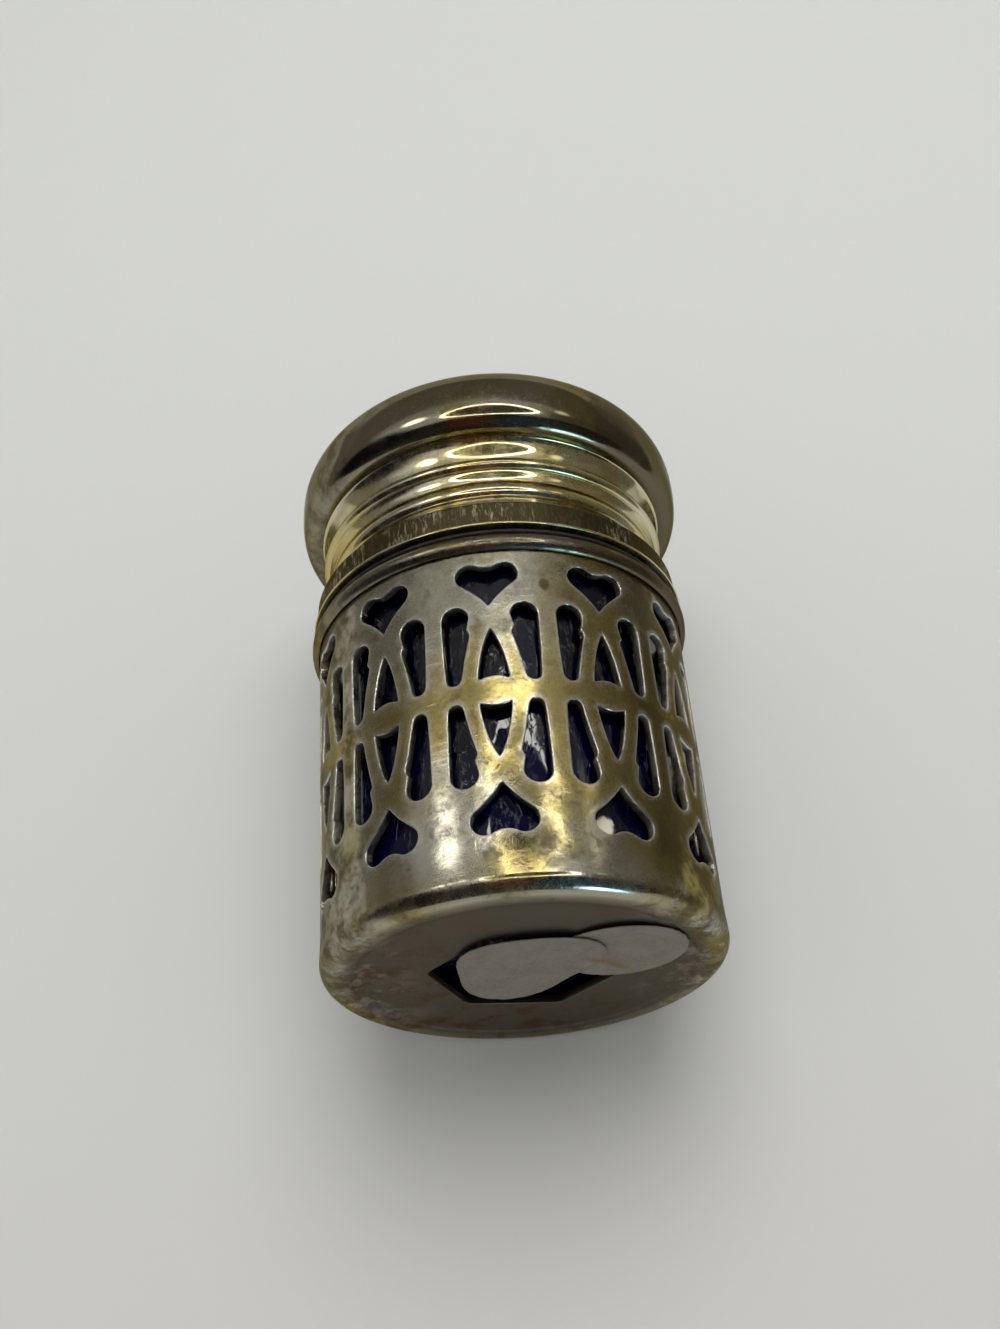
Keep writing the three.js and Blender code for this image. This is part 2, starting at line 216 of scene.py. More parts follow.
# A small builder of node trees: each call adds one node and returns its chosen output.
class Nodes:
    def __init__(self, tree):
        self.tree = tree
        tree.nodes.clear()

    def node(self, kind, settings=None, **values):
        made = self.tree.nodes.new(kind)
        for key, value in (settings or {}).items():
            setattr(made, key, value)
        for key, value in values.items():
            self.feed(made.inputs[key.replace("_", " ")], value)
        return made

    def feed(self, socket, value):
        if isinstance(value, bpy.types.NodeSocket):
            self.tree.links.new(value, socket)
        else:
            socket.default_value = value

    def math(self, operation, a, b=0.0, c=0.0, clamp=False):
        made = self.tree.nodes.new("ShaderNodeMath")
        made.operation = operation
        made.use_clamp = clamp
        for socket, value in zip(made.inputs, (a, b, c)):
            self.feed(socket, value)
        return made.outputs[0]

    def dot(self, a, b):
        made = self.tree.nodes.new("ShaderNodeVectorMath")
        made.operation = "DOT_PRODUCT"
        self.feed(made.inputs[0], a)
        self.feed(made.inputs[1], b)
        return made.outputs["Value"]

    # Distance of a place from a point in millimetres, after the place is stretched by the given factors.
    def away(self, place, point, stretch=(1, 1, 1)):
        apart = self.node("ShaderNodeVectorMath", {"operation": "SUBTRACT"})
        self.feed(apart.inputs[0], place)
        apart.inputs[1].default_value = tuple(c * mm for c in point)
        scaled = self.node("ShaderNodeVectorMath", {"operation": "MULTIPLY"})
        self.feed(scaled.inputs[0], apart.outputs[0])
        scaled.inputs[1].default_value = stretch
        length = self.node("ShaderNodeVectorMath", {"operation": "LENGTH"})
        self.feed(length.inputs[0], scaled.outputs[0])
        return length.outputs["Value"]

    def noise(self, place, scale, detail=4.0, roughness=0.55, distortion=0.0):
        return self.node("ShaderNodeTexNoise", Vector=place, Scale=scale, Detail=detail,
                         Roughness=roughness, Distortion=distortion).outputs[0]

    def cells(self, place, scale, feature="F1"):
        return self.node("ShaderNodeTexVoronoi", {"feature": feature}, Vector=place, Scale=scale).outputs[0]

    # The value moved from one range to 0..1 with soft ends.
    def ramp(self, value, low, high, bottom=0.0, top=1.0, soft=True):
        settings = {"interpolation_type": "SMOOTHSTEP" if soft else "LINEAR"}
        made = self.node("ShaderNodeMapRange", settings, Value=value)
        for key, number in (("From Min", low), ("From Max", high), ("To Min", bottom), ("To Max", top)):
            self.feed(made.inputs[key], number)
        return made.outputs[0]

    def mix(self, amount, a, b, blend="MIX"):
        made = self.tree.nodes.new("ShaderNodeMix")
        made.data_type = "RGBA"
        made.blend_type = blend
        self.feed(made.inputs[0], amount)
        for socket, value in ((made.inputs[6], a), (made.inputs[7], b)):
            self.feed(socket, value if isinstance(value, bpy.types.NodeSocket) else (*value, 1.0))
        return made.outputs[2]

    def mark(self, name):
        return self.node("ShaderNodeAttribute", {"attribute_name": name}).outputs["Fac"]

    def bump(self, height, strength, distance, below=None):
        made = self.node("ShaderNodeBump", Height=height, Strength=strength, Distance=distance)
        if below is not None:
            self.feed(made.inputs["Normal"], below)
        return made.outputs[0]


# A material with one Principled shader, patterned on Object coordinates.
class Finish(Nodes):
    def __init__(self, name):
        self.material = bpy.data.materials.new(name)
        self.material.use_nodes = True
        super().__init__(self.material.node_tree)
        self.shader = self.tree.nodes.new("ShaderNodeBsdfPrincipled")
        output = self.tree.nodes.new("ShaderNodeOutputMaterial")
        self.tree.links.new(self.shader.outputs[0], output.inputs[0])
        self.place = self.tree.nodes.new("ShaderNodeTexCoord").outputs["Object"]

    # Object coordinates stretched by a factor along each axis.
    def stretched(self, scale, turn=(0, 0, 0)):
        made = self.node("ShaderNodeMapping", Scale=scale, Rotation=turn)
        self.feed(made.inputs["Vector"], self.place)
        return made.outputs[0]

    def set(self, **values):
        for key, value in values.items():
            if isinstance(value, tuple) and len(value) == 3:
                value = (*value, 1.0)
            self.feed(self.shader.inputs[key.replace("_", " ")], value)
        return self.material


silverLook = dict(
    clean=(0.47, 0.455, 0.375),
    yellowed=(0.40, 0.33, 0.13),
    brown=(0.12, 0.09, 0.055),
    bright=(0.88, 0.86, 0.79),
    edgeTint=(0.45, 0.43, 0.36),
    polish=0.05,       # roughness where the plate is still bright
    haze=0.42,         # roughness where it has dulled
    hazeShare=0.5,     # share of the surface that has dulled
    dullEdge=0.06,     # how softly bright plate runs into dulled plate
    scratchDepth=0.12,
    dentDepth=0.5,
    grainDepth=0.12,
)


# Worn silver plate. Broad noise decides where it has yellowed, finer noise where brown tarnish sits, and
# hollows hold more of it. Fine speckle switches the roughness between polish and haze, so that a sharp
# reflection and a soft one lie over each other. Noise stretched round the axis and along it makes the
# polishing lines and scratches.
def silverFinish(name, look, tarnishAndSideShade=0.0, yellowing=0.0, worn=None, more=None):
    f = Finish(name)
    broad = f.noise(f.place, 85, 4, 0.6)
    patches = f.noise(f.stretched((1, 1, 1), (0.4, 0.2, 0)), 330, 6, 0.65)
    mottle = f.noise(f.place, 1500, 5, 0.75)
    speckle = f.noise(f.place, 26000, 2, 0.6)
    leaning = yellowing(f) if callable(yellowing) else yellowing
    yellow = f.ramp(f.math("ADD", broad, leaning), 0.38, 0.66)
    # The darkening passed in raises the brown tarnish; where it grows toward the sides it is painted shade.
    darkening = tarnishAndSideShade(f) if callable(tarnishAndSideShade) else tarnishAndSideShade
    spotted = f.math("MULTIPLY_ADD", patches, 0.7, f.math("MULTIPLY_ADD", mottle, 0.3, darkening))
    brown = f.math("MULTIPLY", f.ramp(spotted, 0.44, 0.66), 0.8)
    hollow = f.math("MULTIPLY", f.mark("grime"), f.ramp(patches, 0.2, 0.6, 0.55, 1.0))
    brown = f.math("ADD", brown, hollow, clamp=True)
    colour = f.mix(yellow, look["clean"], look["yellowed"])
    colour = f.mix(brown, colour, look["brown"])
    lines = f.noise(f.stretched((0.04, 0.04, 1)), 2600, 3, 0.7)
    crossed = f.noise(f.stretched((1, 1, 0.05), (0.15, 0.1, 0.3)), 2300, 3, 0.7, 0.4)
    scratch = f.math("ADD", f.ramp(lines, 0.60, 0.72), f.ramp(crossed, 0.62, 0.75))
    hazed = f.math("MULTIPLY_ADD", brown, 0.12, look["hazeShare"] * 0.4 - 0.5)
    share = f.math("MULTIPLY_ADD", patches, 0.6, hazed)
    dull = f.ramp(f.math("ADD", speckle, share), 0.51 - look["dullEdge"], 0.51 + look["dullEdge"])
    rough = f.ramp(dull, 0, 1, look["polish"], look["haze"], False)
    if worn is not None:
        edge = f.math("MULTIPLY", f.mark(worn), f.ramp(mottle, 0.25, 0.5, 0.55, 1.0))
        colour = f.mix(edge, colour, look["bright"])
        rough = f.math("MULTIPLY_ADD", edge, 0.12, rough)
    if more is not None:
        colour, rough = more(f, colour, rough, patches, mottle)
    dents = f.bump(f.noise(f.place, 75, 2, 0.5), look["dentDepth"], 0.0006)
    grain = f.bump(mottle, look["grainDepth"], 0.00008, dents)
    marks = f.bump(scratch, look["scratchDepth"], 0.00003, grain)
    f.set(Base_Color=colour, Metallic=1.0, Roughness=rough, Normal=marks, Specular_Tint=look["edgeTint"])
    return f.material


# Painted shade: extra tarnish that grows toward the two sides, each by its own amount, and less close to the
# foot's edge, darkening the sides as shade would.
def paintedSideShade(front, right, left=0.0):
    def amount(f):
        across, height = f.dot(f.place, (1, 0, 0)), f.dot(f.place, (0, 0, 1))
        aboveFoot = f.ramp(height, 0.001, 0.007, 0.45, 1)
        toRight = f.math("MULTIPLY", f.ramp(across, 0.009, 0.0175, 0, right), aboveFoot)
        toLeft = f.ramp(across, -0.010, -0.0165, front, front + left)
        return f.math("ADD", toRight, toLeft)
    return amount


holderShape = dict(
    radius=20.0, sheet=0.8, height=38.8,
    footEdge=1.5, footRingWidth=1.8, footFlare=0.12, footFlareHeight=5.0, baseRecess=0.2,
    plateMiddle=15.5, plateRound=13.5, hexagonCorner=9.82, hexagonTurnColumns=31, hexagonRounding=0.35,
    repeats=11, patternMiddle=20.55,
    heartTop=35.45, heartTip=30.25, heartHalfWidth=3.15, heartLobe=1.35, heartNotch=34.95,
    heartFlank=(0.8, 1.35), heartDip=0.65,   # where the flank bends, from the tip, and the dip's half width
    archTip=27.7, archFoot=21.8, archHalfWidth=1.55, archFootRise=0.4,
    archFootBend=0.78, archShoulder=(1.15, 3.8),
    slotTop=30.55, slotFoot=21.6, slotOuter=4.78, slotHead=2.7, slotTail=1.5, slotTailInset=0.15,
    slotOuterBend=3.4, slotInnerBend=(0.55, -2.6),
    cuspTop=27.7, cuspHeight=0.75, cuspDepth=0.36, cuspOver=(0.12, 0.45), cuspUnder=(-0.02, -0.2),
    gridStep=0.48, outlineStep=0.24, corner=0.11, wornEdge=0.13, wornReach=0.15,
)


# Right half of a heart: a curve from the tip to the lobe, the lobe's arc, and a shallow dip to the middle.
def heartOutline(h):
    lobeX = h["heartHalfWidth"] - h["heartLobe"]
    lobe = arcPoints(lobeX, h["heartTop"] - h["heartLobe"], h["heartLobe"], h["heartLobe"], -50, 115)
    outward, upward = h["heartFlank"]
    flank = bendPoints((0, h["heartTip"]), (outward, h["heartTip"] + upward), lobe[0])
    notch = bendPoints(lobe[-1], (h["heartDip"], h["heartNotch"]), (0, h["heartNotch"]))
    half = np.concatenate([flank, lobe[1:], notch[1:]])
    return np.concatenate([half, (half * (-1, 1))[-2:0:-1]])


# Right half of a pointed arch: a foot that swells up in the middle, and a side that leans in to the tip.
def archOutline(h):
    corner = (h["archHalfWidth"], h["archFoot"])
    swell = h["archFoot"] + h["archFootRise"]
    outward, upward = h["archShoulder"]
    foot = bendPoints((0, swell), (h["archFootBend"], swell), corner)
    side = bendPoints(corner, (outward, h["archFoot"] + upward), (0, h["archTip"]))
    half = np.concatenate([foot, side[1:]])
    return np.concatenate([half, (half * (-1, 1))[-2:0:-1]])


# A slot with a round head, a cusp that stands into its inner side, and a narrow round tail.
def slotOutline(h):
    head, tail = h["slotHead"] / 2, h["slotTail"] / 2
    inner = h["slotOuter"] - h["slotHead"]
    tailX = h["slotOuter"] - tail - h["slotTailInset"]
    crown = arcPoints(h["slotOuter"] - head, h["slotTop"] - head, head, head, 0, 205)
    cusp = (inner + h["cuspDepth"], h["cuspTop"])
    shoulder = (inner + 0.02, h["cuspTop"] - h["cuspHeight"])
    over, under, below = (np.array([inner, h["cuspTop"]]) + h[name]
                          for name in ("cuspOver", "cuspUnder", "slotInnerBend"))
    end = arcPoints(tailX, h["slotFoot"] + tail, tail, tail, 185, 352)
    return np.concatenate([
        crown, bendPoints(crown[-1], over, cusp)[1:], bendPoints(cusp, under, shoulder)[1:],
        bendPoints(shoulder, below, end[0])[1:], end[1:],
        bendPoints(end[-1], (h["slotOuter"], h["slotFoot"] + h["slotOuterBend"]), crown[0])[1:-1]])


# Unit direction from the metal into the opening at each point of an anticlockwise outline.
def intoOpening(outline):
    along = np.roll(outline, -1, 0) - np.roll(outline, 1, 0)
    along /= np.linalg.norm(along, axis=1)[:, None]
    return np.stack([-along[:, 1], along[:, 0]], 1)


# The outline turned so that its area, half the sum of its corners' cross products, is above nought.
def anticlockwise(outline):
    x, y = outline.T
    area = (x * np.roll(y, -1) - np.roll(x, -1) * y).sum()
    return outline if area > 0 else outline[::-1]


# True where a point lies inside an outline: an odd number of its edges cross the ray to the right.
def inside(points, outline):
    a, b = outline, np.roll(outline, -1, 0)
    x, y = points[:, :1], points[:, 1:]
    crosses = (a[:, 1] > y) != (b[:, 1] > y)
    height = np.where(b[:, 1] == a[:, 1], 1e-9, b[:, 1] - a[:, 1])
    at = a[:, 0] + (y - a[:, 1]) / height * (b[:, 0] - a[:, 0])
    return (crosses & (x < at)).sum(1) % 2 == 1


# Distance from each point to the nearest point of any outline.
def nearest(points, outlines):
    marks = np.concatenate(outlines)
    gap = points[:, None, :] - marks[None, :, :]
    return np.sqrt((gap ** 2).sum(2)).min(1)


# A flat sheet with openings, as triangles: a grid of points kept clear of the outlines, the outlines and the
# sheet's own border are joined by a Delaunay net that follows every outline, and the openings are left out.
def piercedSheet(grid, border, outlines, clearance):
    free = grid[nearest(grid, outlines + [border]) > clearance]
    for outline in outlines:
        free = free[~inside(free, outline)]
    points = np.concatenate([border] + outlines + [free])
    edges, start = [], 0
    for loop in [border] + outlines:
        count = len(loop)
        edges += [(start + k, start + (k + 1) % count) for k in range(count)]
        start += count
    found = delaunay_2d_cdt(points.tolist(), edges, [], 0, 1e-6)
    verts = np.array([tuple(v) for v in found[0]])
    faces = np.array(found[2])
    middle = verts[faces].mean(1)
    keep = inside(middle, border)
    for outline in outlines:
        keep &= ~inside(middle, outline)
    a, b, c = (verts[faces[:, k]] for k in range(3))
    turn = (b[:, 0] - a[:, 0]) * (c[:, 1] - a[:, 1]) - (b[:, 1] - a[:, 1]) * (c[:, 0] - a[:, 0])
    faces = np.where((turn < 0)[:, None], faces[:, ::-1], faces)
    return verts, faces[keep & (np.abs(turn) > 1e-9)]


# Walls of an opening: rows of the outline from the sheet's face, round a worn edge and through to the back.
# Each row is (how far it stands back from the opening's true edge, how deep it lies, how far its normal has
# turned).
def edgeRows(h):
    worn = h["wornEdge"]
    turn = np.radians([0, 30, 60, 90])
    edge = np.stack([worn * (1 - np.sin(turn)), worn * (1 - np.cos(turn)), turn], 1)
    return np.concatenate([edge, [[0, h["sheet"], math.pi / 2]]])


# How far the wall flares out toward the foot, and how much its normal tips up there: the flare grows with
# the square of the depth below the height where it starts.
def footFlare(h, height):
    reach = h["footFlareHeight"] - wallFoot(h)
    depth = np.clip((h["footFlareHeight"] - height) / reach, 0, None)
    return h["footFlare"] * depth ** 2, 2 * h["footFlare"] * depth / reach


# Where the wall meets the foot's edge, just above its bend.
def wallFoot(h):
    return h["footEdge"] + 0.1


# The pierced wall from the foot's edge to the top: one repeat is netted flat, wrapped on the cylinder by
# angle = width / radius, and set round eleven times; the inner face is the same net on the inner radius.
def holderWall(h):
    width = 2 * math.pi * h["radius"] / h["repeats"]
    perRepeat = columns // h["repeats"]
    rowCount = int(round((h["height"] - wallFoot(h)) / h["gridStep"]))
    xs = np.linspace(-width / 2, width / 2, perRepeat + 1)
    zs = np.linspace(wallFoot(h), h["height"], rowCount + 1)
    grid = np.stack(np.meshgrid(xs[1:-1], zs[1:-1]), -1).reshape(-1, 2)
    border = np.concatenate([
        np.stack([xs, 0 * xs + zs[0]], 1), np.stack([0 * zs[1:] + xs[-1], zs[1:]], 1),
        np.stack([xs[::-1], 0 * xs + zs[-1]], 1)[1:], np.stack([0 * zs + xs[0], zs[::-1]], 1)[1:-1]])
    slot = slotOutline(h)
    upper = [heartOutline(h), archOutline(h), slot, slot * (-1, 1)]
    lower = [o * (1, -1) + (0, 2 * h["patternMiddle"]) for o in upper]
    fine = h["outlineStep"] / 6
    outlines = [spaced(anticlockwise(o), fine, True) for o in upper + lower]
    outlines = [spaced(softened(o, h["corner"] / fine, True), h["outlineStep"], True) for o in outlines]
    opened = [o - h["wornEdge"] * intoOpening(o) for o in outlines]
    sheet, sheetFaces = piercedSheet(grid, border, opened, 0.6 * h["gridStep"])
    back, backFaces = piercedSheet(grid, border, outlines, 0.6 * h["gridStep"])

    parts, faces, normals, wear = [], [], [], []

    def add(flat, depth, facets, facing, mark):
        start = sum(len(p) for p in parts)
        parts.append(np.concatenate([flat, depth[:, None]], 1))
        faces.append(facets + start)
        normals.append(facing)
        wear.append(mark)

    outward = np.tile([0, 0, 1.0], (sheetFaces.size, 1))
    inward = np.tile([0, 0, -1.0], (backFaces.size, 1))
    rubbed = 0.35 * np.exp(-nearest(sheet, opened) / h["wornReach"])
    add(sheet, np.zeros(len(sheet)), sheetFaces, outward, rubbed)
    add(back, np.full(len(back), h["sheet"]), backFaces[:, ::-1], inward, np.zeros(len(back)))
    rows = edgeRows(h)
    for outline in outlines:
        into = intoOpening(outline)
        flat = np.concatenate([outline - row[0] * into for row in rows])
        depth = np.repeat(rows[:, 1], len(outline))
        squares = gridFaces(len(rows), len(outline))
        facing = np.concatenate([
            np.insert(into * math.sin(turn), 2, math.cos(turn), axis=1) for turn in rows[:, 2]])
        triangles = np.concatenate([squares[:, [0, 1, 2]], squares[:, [0, 2, 3]]])
        rubbed = np.repeat([1, 1, 1, 0.8, 0.1], len(outline))
        add(flat, depth, triangles, facing[triangles.reshape(-1)], rubbed)

    flat = np.concatenate(parts)
    facets = np.concatenate(faces)
    facing = np.concatenate(normals)
    mark = np.concatenate(wear)
    flare, lean = footFlare(h, flat[:, 1])
    rise = facing[:, 1] + facing[:, 2] * lean[facets.reshape(-1)]
    points, allFaces, allNormals = [], [], []
    for repeat in range(h["repeats"]):
        bearing = 2 * math.pi * repeat / h["repeats"]
        angle = bearing + flat[:, 0] / h["radius"]
        points.append(aroundAxis(h["radius"] + flare - flat[:, 2], flat[:, 1], angle))
        allFaces.append(facets + repeat * len(flat))
        turned = angle[facets.reshape(-1)]
        out, side = facing[:, 2], facing[:, 0]
        allNormals.append(np.stack([out * np.sin(turned) + side * np.cos(turned),
                                    -out * np.cos(turned) + side * np.sin(turned), rise], 1))
    wall = [np.concatenate(group) for group in (points, allFaces, allNormals)]
    return *wall, np.tile(mark, h["repeats"])


# The foot and base plate: rows go round the foot's edge, the foot ring and up to the plate, where the radius
# passes from a circle to a rounded hexagon by mixing the two, and back along the inside to the wall.
def holderBase(h):
    width = 2 * math.pi / h["repeats"]
    angle = columnAngles(columns, -width / 2)
    ringOuter = h["radius"] + h["footFlare"] - h["footEdge"]
    ringInner = ringOuter - h["footRingWidth"]
    recess, top = h["baseRecess"], h["baseRecess"] + h["sheet"]
    start = (h["radius"] + h["footFlare"], wallFoot(h))
    edge, innerEdge = h["footEdge"], h["footEdge"] - h["sheet"]
    middle, roundRadius = h["plateMiddle"], h["plateRound"]
    under = np.concatenate([
        [start], arcPoints(ringOuter, edge, edge, edge, -1, -90, 14),
        [(ringInner + 0.3, 0.0), (ringInner + 0.1, 0.03), (ringInner - 0.1, recess - 0.03),
         (ringInner - 0.3, recess), (middle, recess), (roundRadius, recess)]])
    above = np.concatenate([
        [(roundRadius, top), (middle, top), (ringInner, top)],
        arcPoints(ringOuter, edge, innerEdge, innerEdge, -90, -1, 8), [(start[0] - h["sheet"], start[1])]])
    sector = angle - h["hexagonTurnColumns"] * 2 * math.pi / columns
    sector = np.remainder(sector, math.pi / 3) - math.pi / 6
    hexagon = h["hexagonCorner"] * math.cos(math.pi / 6) / np.cos(sector)
    soft = h["hexagonCorner"] - h["hexagonRounding"]
    hexagon = np.where(hexagon > soft, soft + (hexagon - soft) * 0.45, hexagon)
    rows = [(r + 0 * angle, z, 0) for r, z in under]
    for share in (0.25, 0.5, 0.7, 0.85, 0.94):
        rows.append((roundRadius * (1 - share) + (hexagon + 0.12) * share, recess, 0))
    rows += [(hexagon + 0.12, recess, 0), (hexagon + 0.035, recess + 0.035, 0),
             (hexagon, recess + 0.12, 0.6), (hexagon, top - 0.1, 0.4),
             (hexagon + 0.03, top - 0.02, 0), (hexagon + 0.1, top, 0)]
    for share in (0.85, 0.6, 0.3):
        rows.append((roundRadius * (1 - share) + (hexagon + 0.1) * share, top, 0))
    rows += [(r + 0 * angle, z, 0) for r, z in above]
    points = np.stack([aroundAxis(r, z, angle) for r, z, worn in rows]).reshape(-1, 3)
    plate = np.repeat([float(z < top and np.max(r) < ringOuter - 0.3) for r, z, worn in rows], columns)
    wear = np.repeat([worn for r, z, worn in rows], columns)
    return points, gridFaces(len(rows), columns)[:, ::-1], wear, plate


# The top edge of the wall, between its outer and inner faces.
def holderLip(h):
    width = 2 * math.pi / h["repeats"]
    angle = columnAngles(columns, -width / 2)
    radii = np.linspace(h["radius"], h["radius"] - h["sheet"], 3)
    points = np.stack([aroundAxis(r + 0 * angle, h["height"], angle) for r in radii]).reshape(-1, 3)
    return points, gridFaces(len(radii), columns)


# Wall, base and lip in one mesh; base and lip corners get the mean normal of the squares round them.
def makeHolder(h, material):
    wall, wallFaces, wallNormals, wallWear = holderWall(h)
    base, baseFaces, baseWear, basePlate = holderBase(h)
    lip, lipFaces = holderLip(h)
    points = np.concatenate([wall, base, lip])
    groups = [wallFaces, baseFaces + len(wall), lipFaces + len(wall) + len(base)]
    wear = np.concatenate([wallWear, baseWear, np.zeros(len(lip))])
    normals = []
    for group in groups[1:]:
        a, b, c, d = (points[group[:, k]] for k in range(4))
        face = np.cross(c - a, d - b)
        face /= np.linalg.norm(face, axis=1)[:, None] + 1e-12
        total = np.zeros_like(points)
        for k in range(4):
            np.add.at(total, group[:, k], face)
        total /= np.linalg.norm(total, axis=1)[:, None] + 1e-12
        normals.append(total[group.reshape(-1)])
    first, place = samePlaces(points)
    plate = np.concatenate([np.zeros(len(wall)), basePlate, np.zeros(len(lip))])
    marks = {"wear": wear[first], "grime": np.zeros(len(first)), "plate": plate[first]}
    return makePiece("piercedHolder", points[first], [place[g] for g in groups], material,
                     np.concatenate([wallNormals] + normals), marks)


plateLook = dict(
    middleYellow=0.16, rightYellow=0.10,   # extra yellowing in the pattern's middle band and toward +X
    base=(0.17, 0.15, 0.12), baseStain=(0.15, 0.085, 0.05), baseRough=0.46,
    pale=(0.74, 0.72, 0.62), cream=(0.78, 0.74, 0.60),
    spot=(5.63, -19.19, 32.7), spotRadius=0.85, spotColour=(0.11, 0.075, 0.03),
    deposit=(8.36, -18.17, 6.46), depositRadius=1.35, middleHeight=19.5,
)


# How much more yellow a place is: most in the middle of the pattern, and growing from -X to +X.
def holderYellowing(f):
    p = plateLook
    height = f.dot(f.place, (0, 0, 1))
    across = f.dot(f.place, (1, 0, 0))
    away = f.math("ABSOLUTE", f.math("SUBTRACT", height, p["middleHeight"] * mm))
    middle = f.ramp(away, 0.014, 0.002, 0.0, p["middleYellow"])
    leaning = f.ramp(across, -0.014, 0.016, -p["rightYellow"], p["rightYellow"])
    return f.math("ADD", middle, f.math("MULTIPLY", leaning, f.ramp(height, 0.001, 0.009, -0.5, 1)))


# The holder's own marks: a dull stained base plate, pale worn patches on the foot's edge, one round stain
# between two hearts and a pale deposit beside a lower one.
def holderMarks(f, colour, rough, patches, mottle):
    p = plateLook
    plate = f.mark("plate")
    stain = f.ramp(f.math("MULTIPLY_ADD", patches, 0.8, f.math("MULTIPLY", mottle, 0.3)), 0.52, 0.68)
    height = f.dot(f.place, (0, 0, 1))
    cloud = f.ramp(f.noise(f.place, 210, 5, 0.75), 0.50, 0.60)
    across = f.ramp(f.math("ABSOLUTE", f.dot(f.place, (1, 0, 0))), 0.008, 0.0165)
    footPatch = f.math("MULTIPLY", f.math("MULTIPLY", cloud, f.ramp(height, 0.0035, 0.0005)), across)
    footPatch = f.math("MULTIPLY", footPatch, f.math("MULTIPLY_ADD", plate, -0.6, 1.0))
    stain = f.math("MULTIPLY", stain, f.ramp(f.dot(f.place, (-0.7, 0.7, 0)), -0.004, 0.014, 0.25, 1.0))
    colour = f.mix(plate, colour, f.mix(stain, p["base"], p["baseStain"]))
    colour = f.mix(f.math("MULTIPLY", footPatch, 0.55), colour, p["pale"])
    rough = f.ramp(plate, 0, 1, rough, f.math("MULTIPLY_ADD", mottle, 0.10, p["baseRough"]), False)
    rough = f.math("MULTIPLY_ADD", footPatch, 0.35, rough)
    rim = f.math("MULTIPLY_ADD", mottle, 0.9, -0.45)
    spotEdge, crustEdge = p["spotRadius"] * mm, p["depositRadius"] * mm
    spot = f.math("MULTIPLY_ADD", rim, 0.0006, f.away(f.place, p["spot"], (1.25, 1, 0.9)))
    colour = f.mix(f.ramp(spot, spotEdge, 0.5 * spotEdge, 0, 0.85), colour, p["spotColour"])
    crust = f.math("MULTIPLY_ADD", rim, 0.0012, f.away(f.place, p["deposit"], (1, 1, 0.8)))
    crust = f.ramp(crust, crustEdge, 0.6 * crustEdge, 0, 0.9)
    return f.mix(crust, colour, p["cream"]), f.math("MULTIPLY_ADD", crust, 0.4, rough)


holderLook = dict(silverLook, haze=0.46, hazeShare=0.45)
holderFinish = silverFinish("pierced silver plate", holderLook, tarnishAndSideShade=paintedSideShade(-0.03, 0.20, 0.09),
                            yellowing=holderYellowing, worn="wear", more=holderMarks)
holder = makeHolder(holderShape, holderFinish)
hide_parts("holder_sleeve")
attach(holder, "holder")


beadShape = dict(bore=20.1, foot=36.85, height=1.95, depth=0.7)


# Half an ellipse with a flat back, carried round the axis.
def makeBead(b, material):
    line = arcPoints(b["bore"], b["foot"] + b["height"] / 2, b["depth"], b["height"] / 2, -90, 90, 40)
    rows, normals = profileRows(line, True, 0.04, 0.5, 12)
    return turnedPiece("rimBead", rows, normals, True, material)


beadLook = dict(silverLook, clean=(0.33, 0.31, 0.25), yellowed=(0.26, 0.20, 0.09))
beadFinish = silverFinish("bead plate", beadLook, tarnishAndSideShade=paintedSideShade(0.02, 0.20))
bead = makeBead(beadShape, beadFinish)
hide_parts("rim_bead")
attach(bead, "holder")


linerShape = dict(
    radius=18.5, foot=1.8, wall=1.8, corner=2.4, innerCorner=3.8,
    puntRadius=12.0, puntCrown=6.5, puntHeight=2.4, mouthRounding=0.55,
    flangeFoot=39.0, flangeRadius=20.2, flangeThickness=0.65, shoulderDrop=5.0,
    neckRadius=15.2, neckBore=13.0, neckHeight=7.35,
    threadPitch=3.6, threadRadius=0.9, threadStart=1.65, threadTurns=1.25,
)


# Where the neck's outside is lifted by the thread: a half-round ridge whose height follows sqrt(r^2 -
# distance^2) from a line that climbs one pitch a turn, fading out at both ends.
def threadLift(g, radius, height, angle):
    outside = (radius > g["neckRadius"] - 0.01) & (radius < g["neckRadius"] + 0.01)
    low = g["flangeFoot"] + g["flangeThickness"] + g["threadStart"]
    lift = np.zeros_like(radius)
    for turn in range(2):
        gone = angle / (2 * math.pi) + turn
        line = low + g["threadPitch"] * gone
        ends = np.clip(gone / 0.03, 0, 1) * np.clip((g["threadTurns"] - gone) / 0.03, 0, 1)
        away = np.abs(height - line)
        ridge = np.sqrt(np.clip(g["threadRadius"] ** 2 - away ** 2, 0, None)) * np.sqrt(np.clip(ends, 0, 1))
        lift = np.maximum(lift, ridge)
    return radius + np.where(outside, lift, 0), height


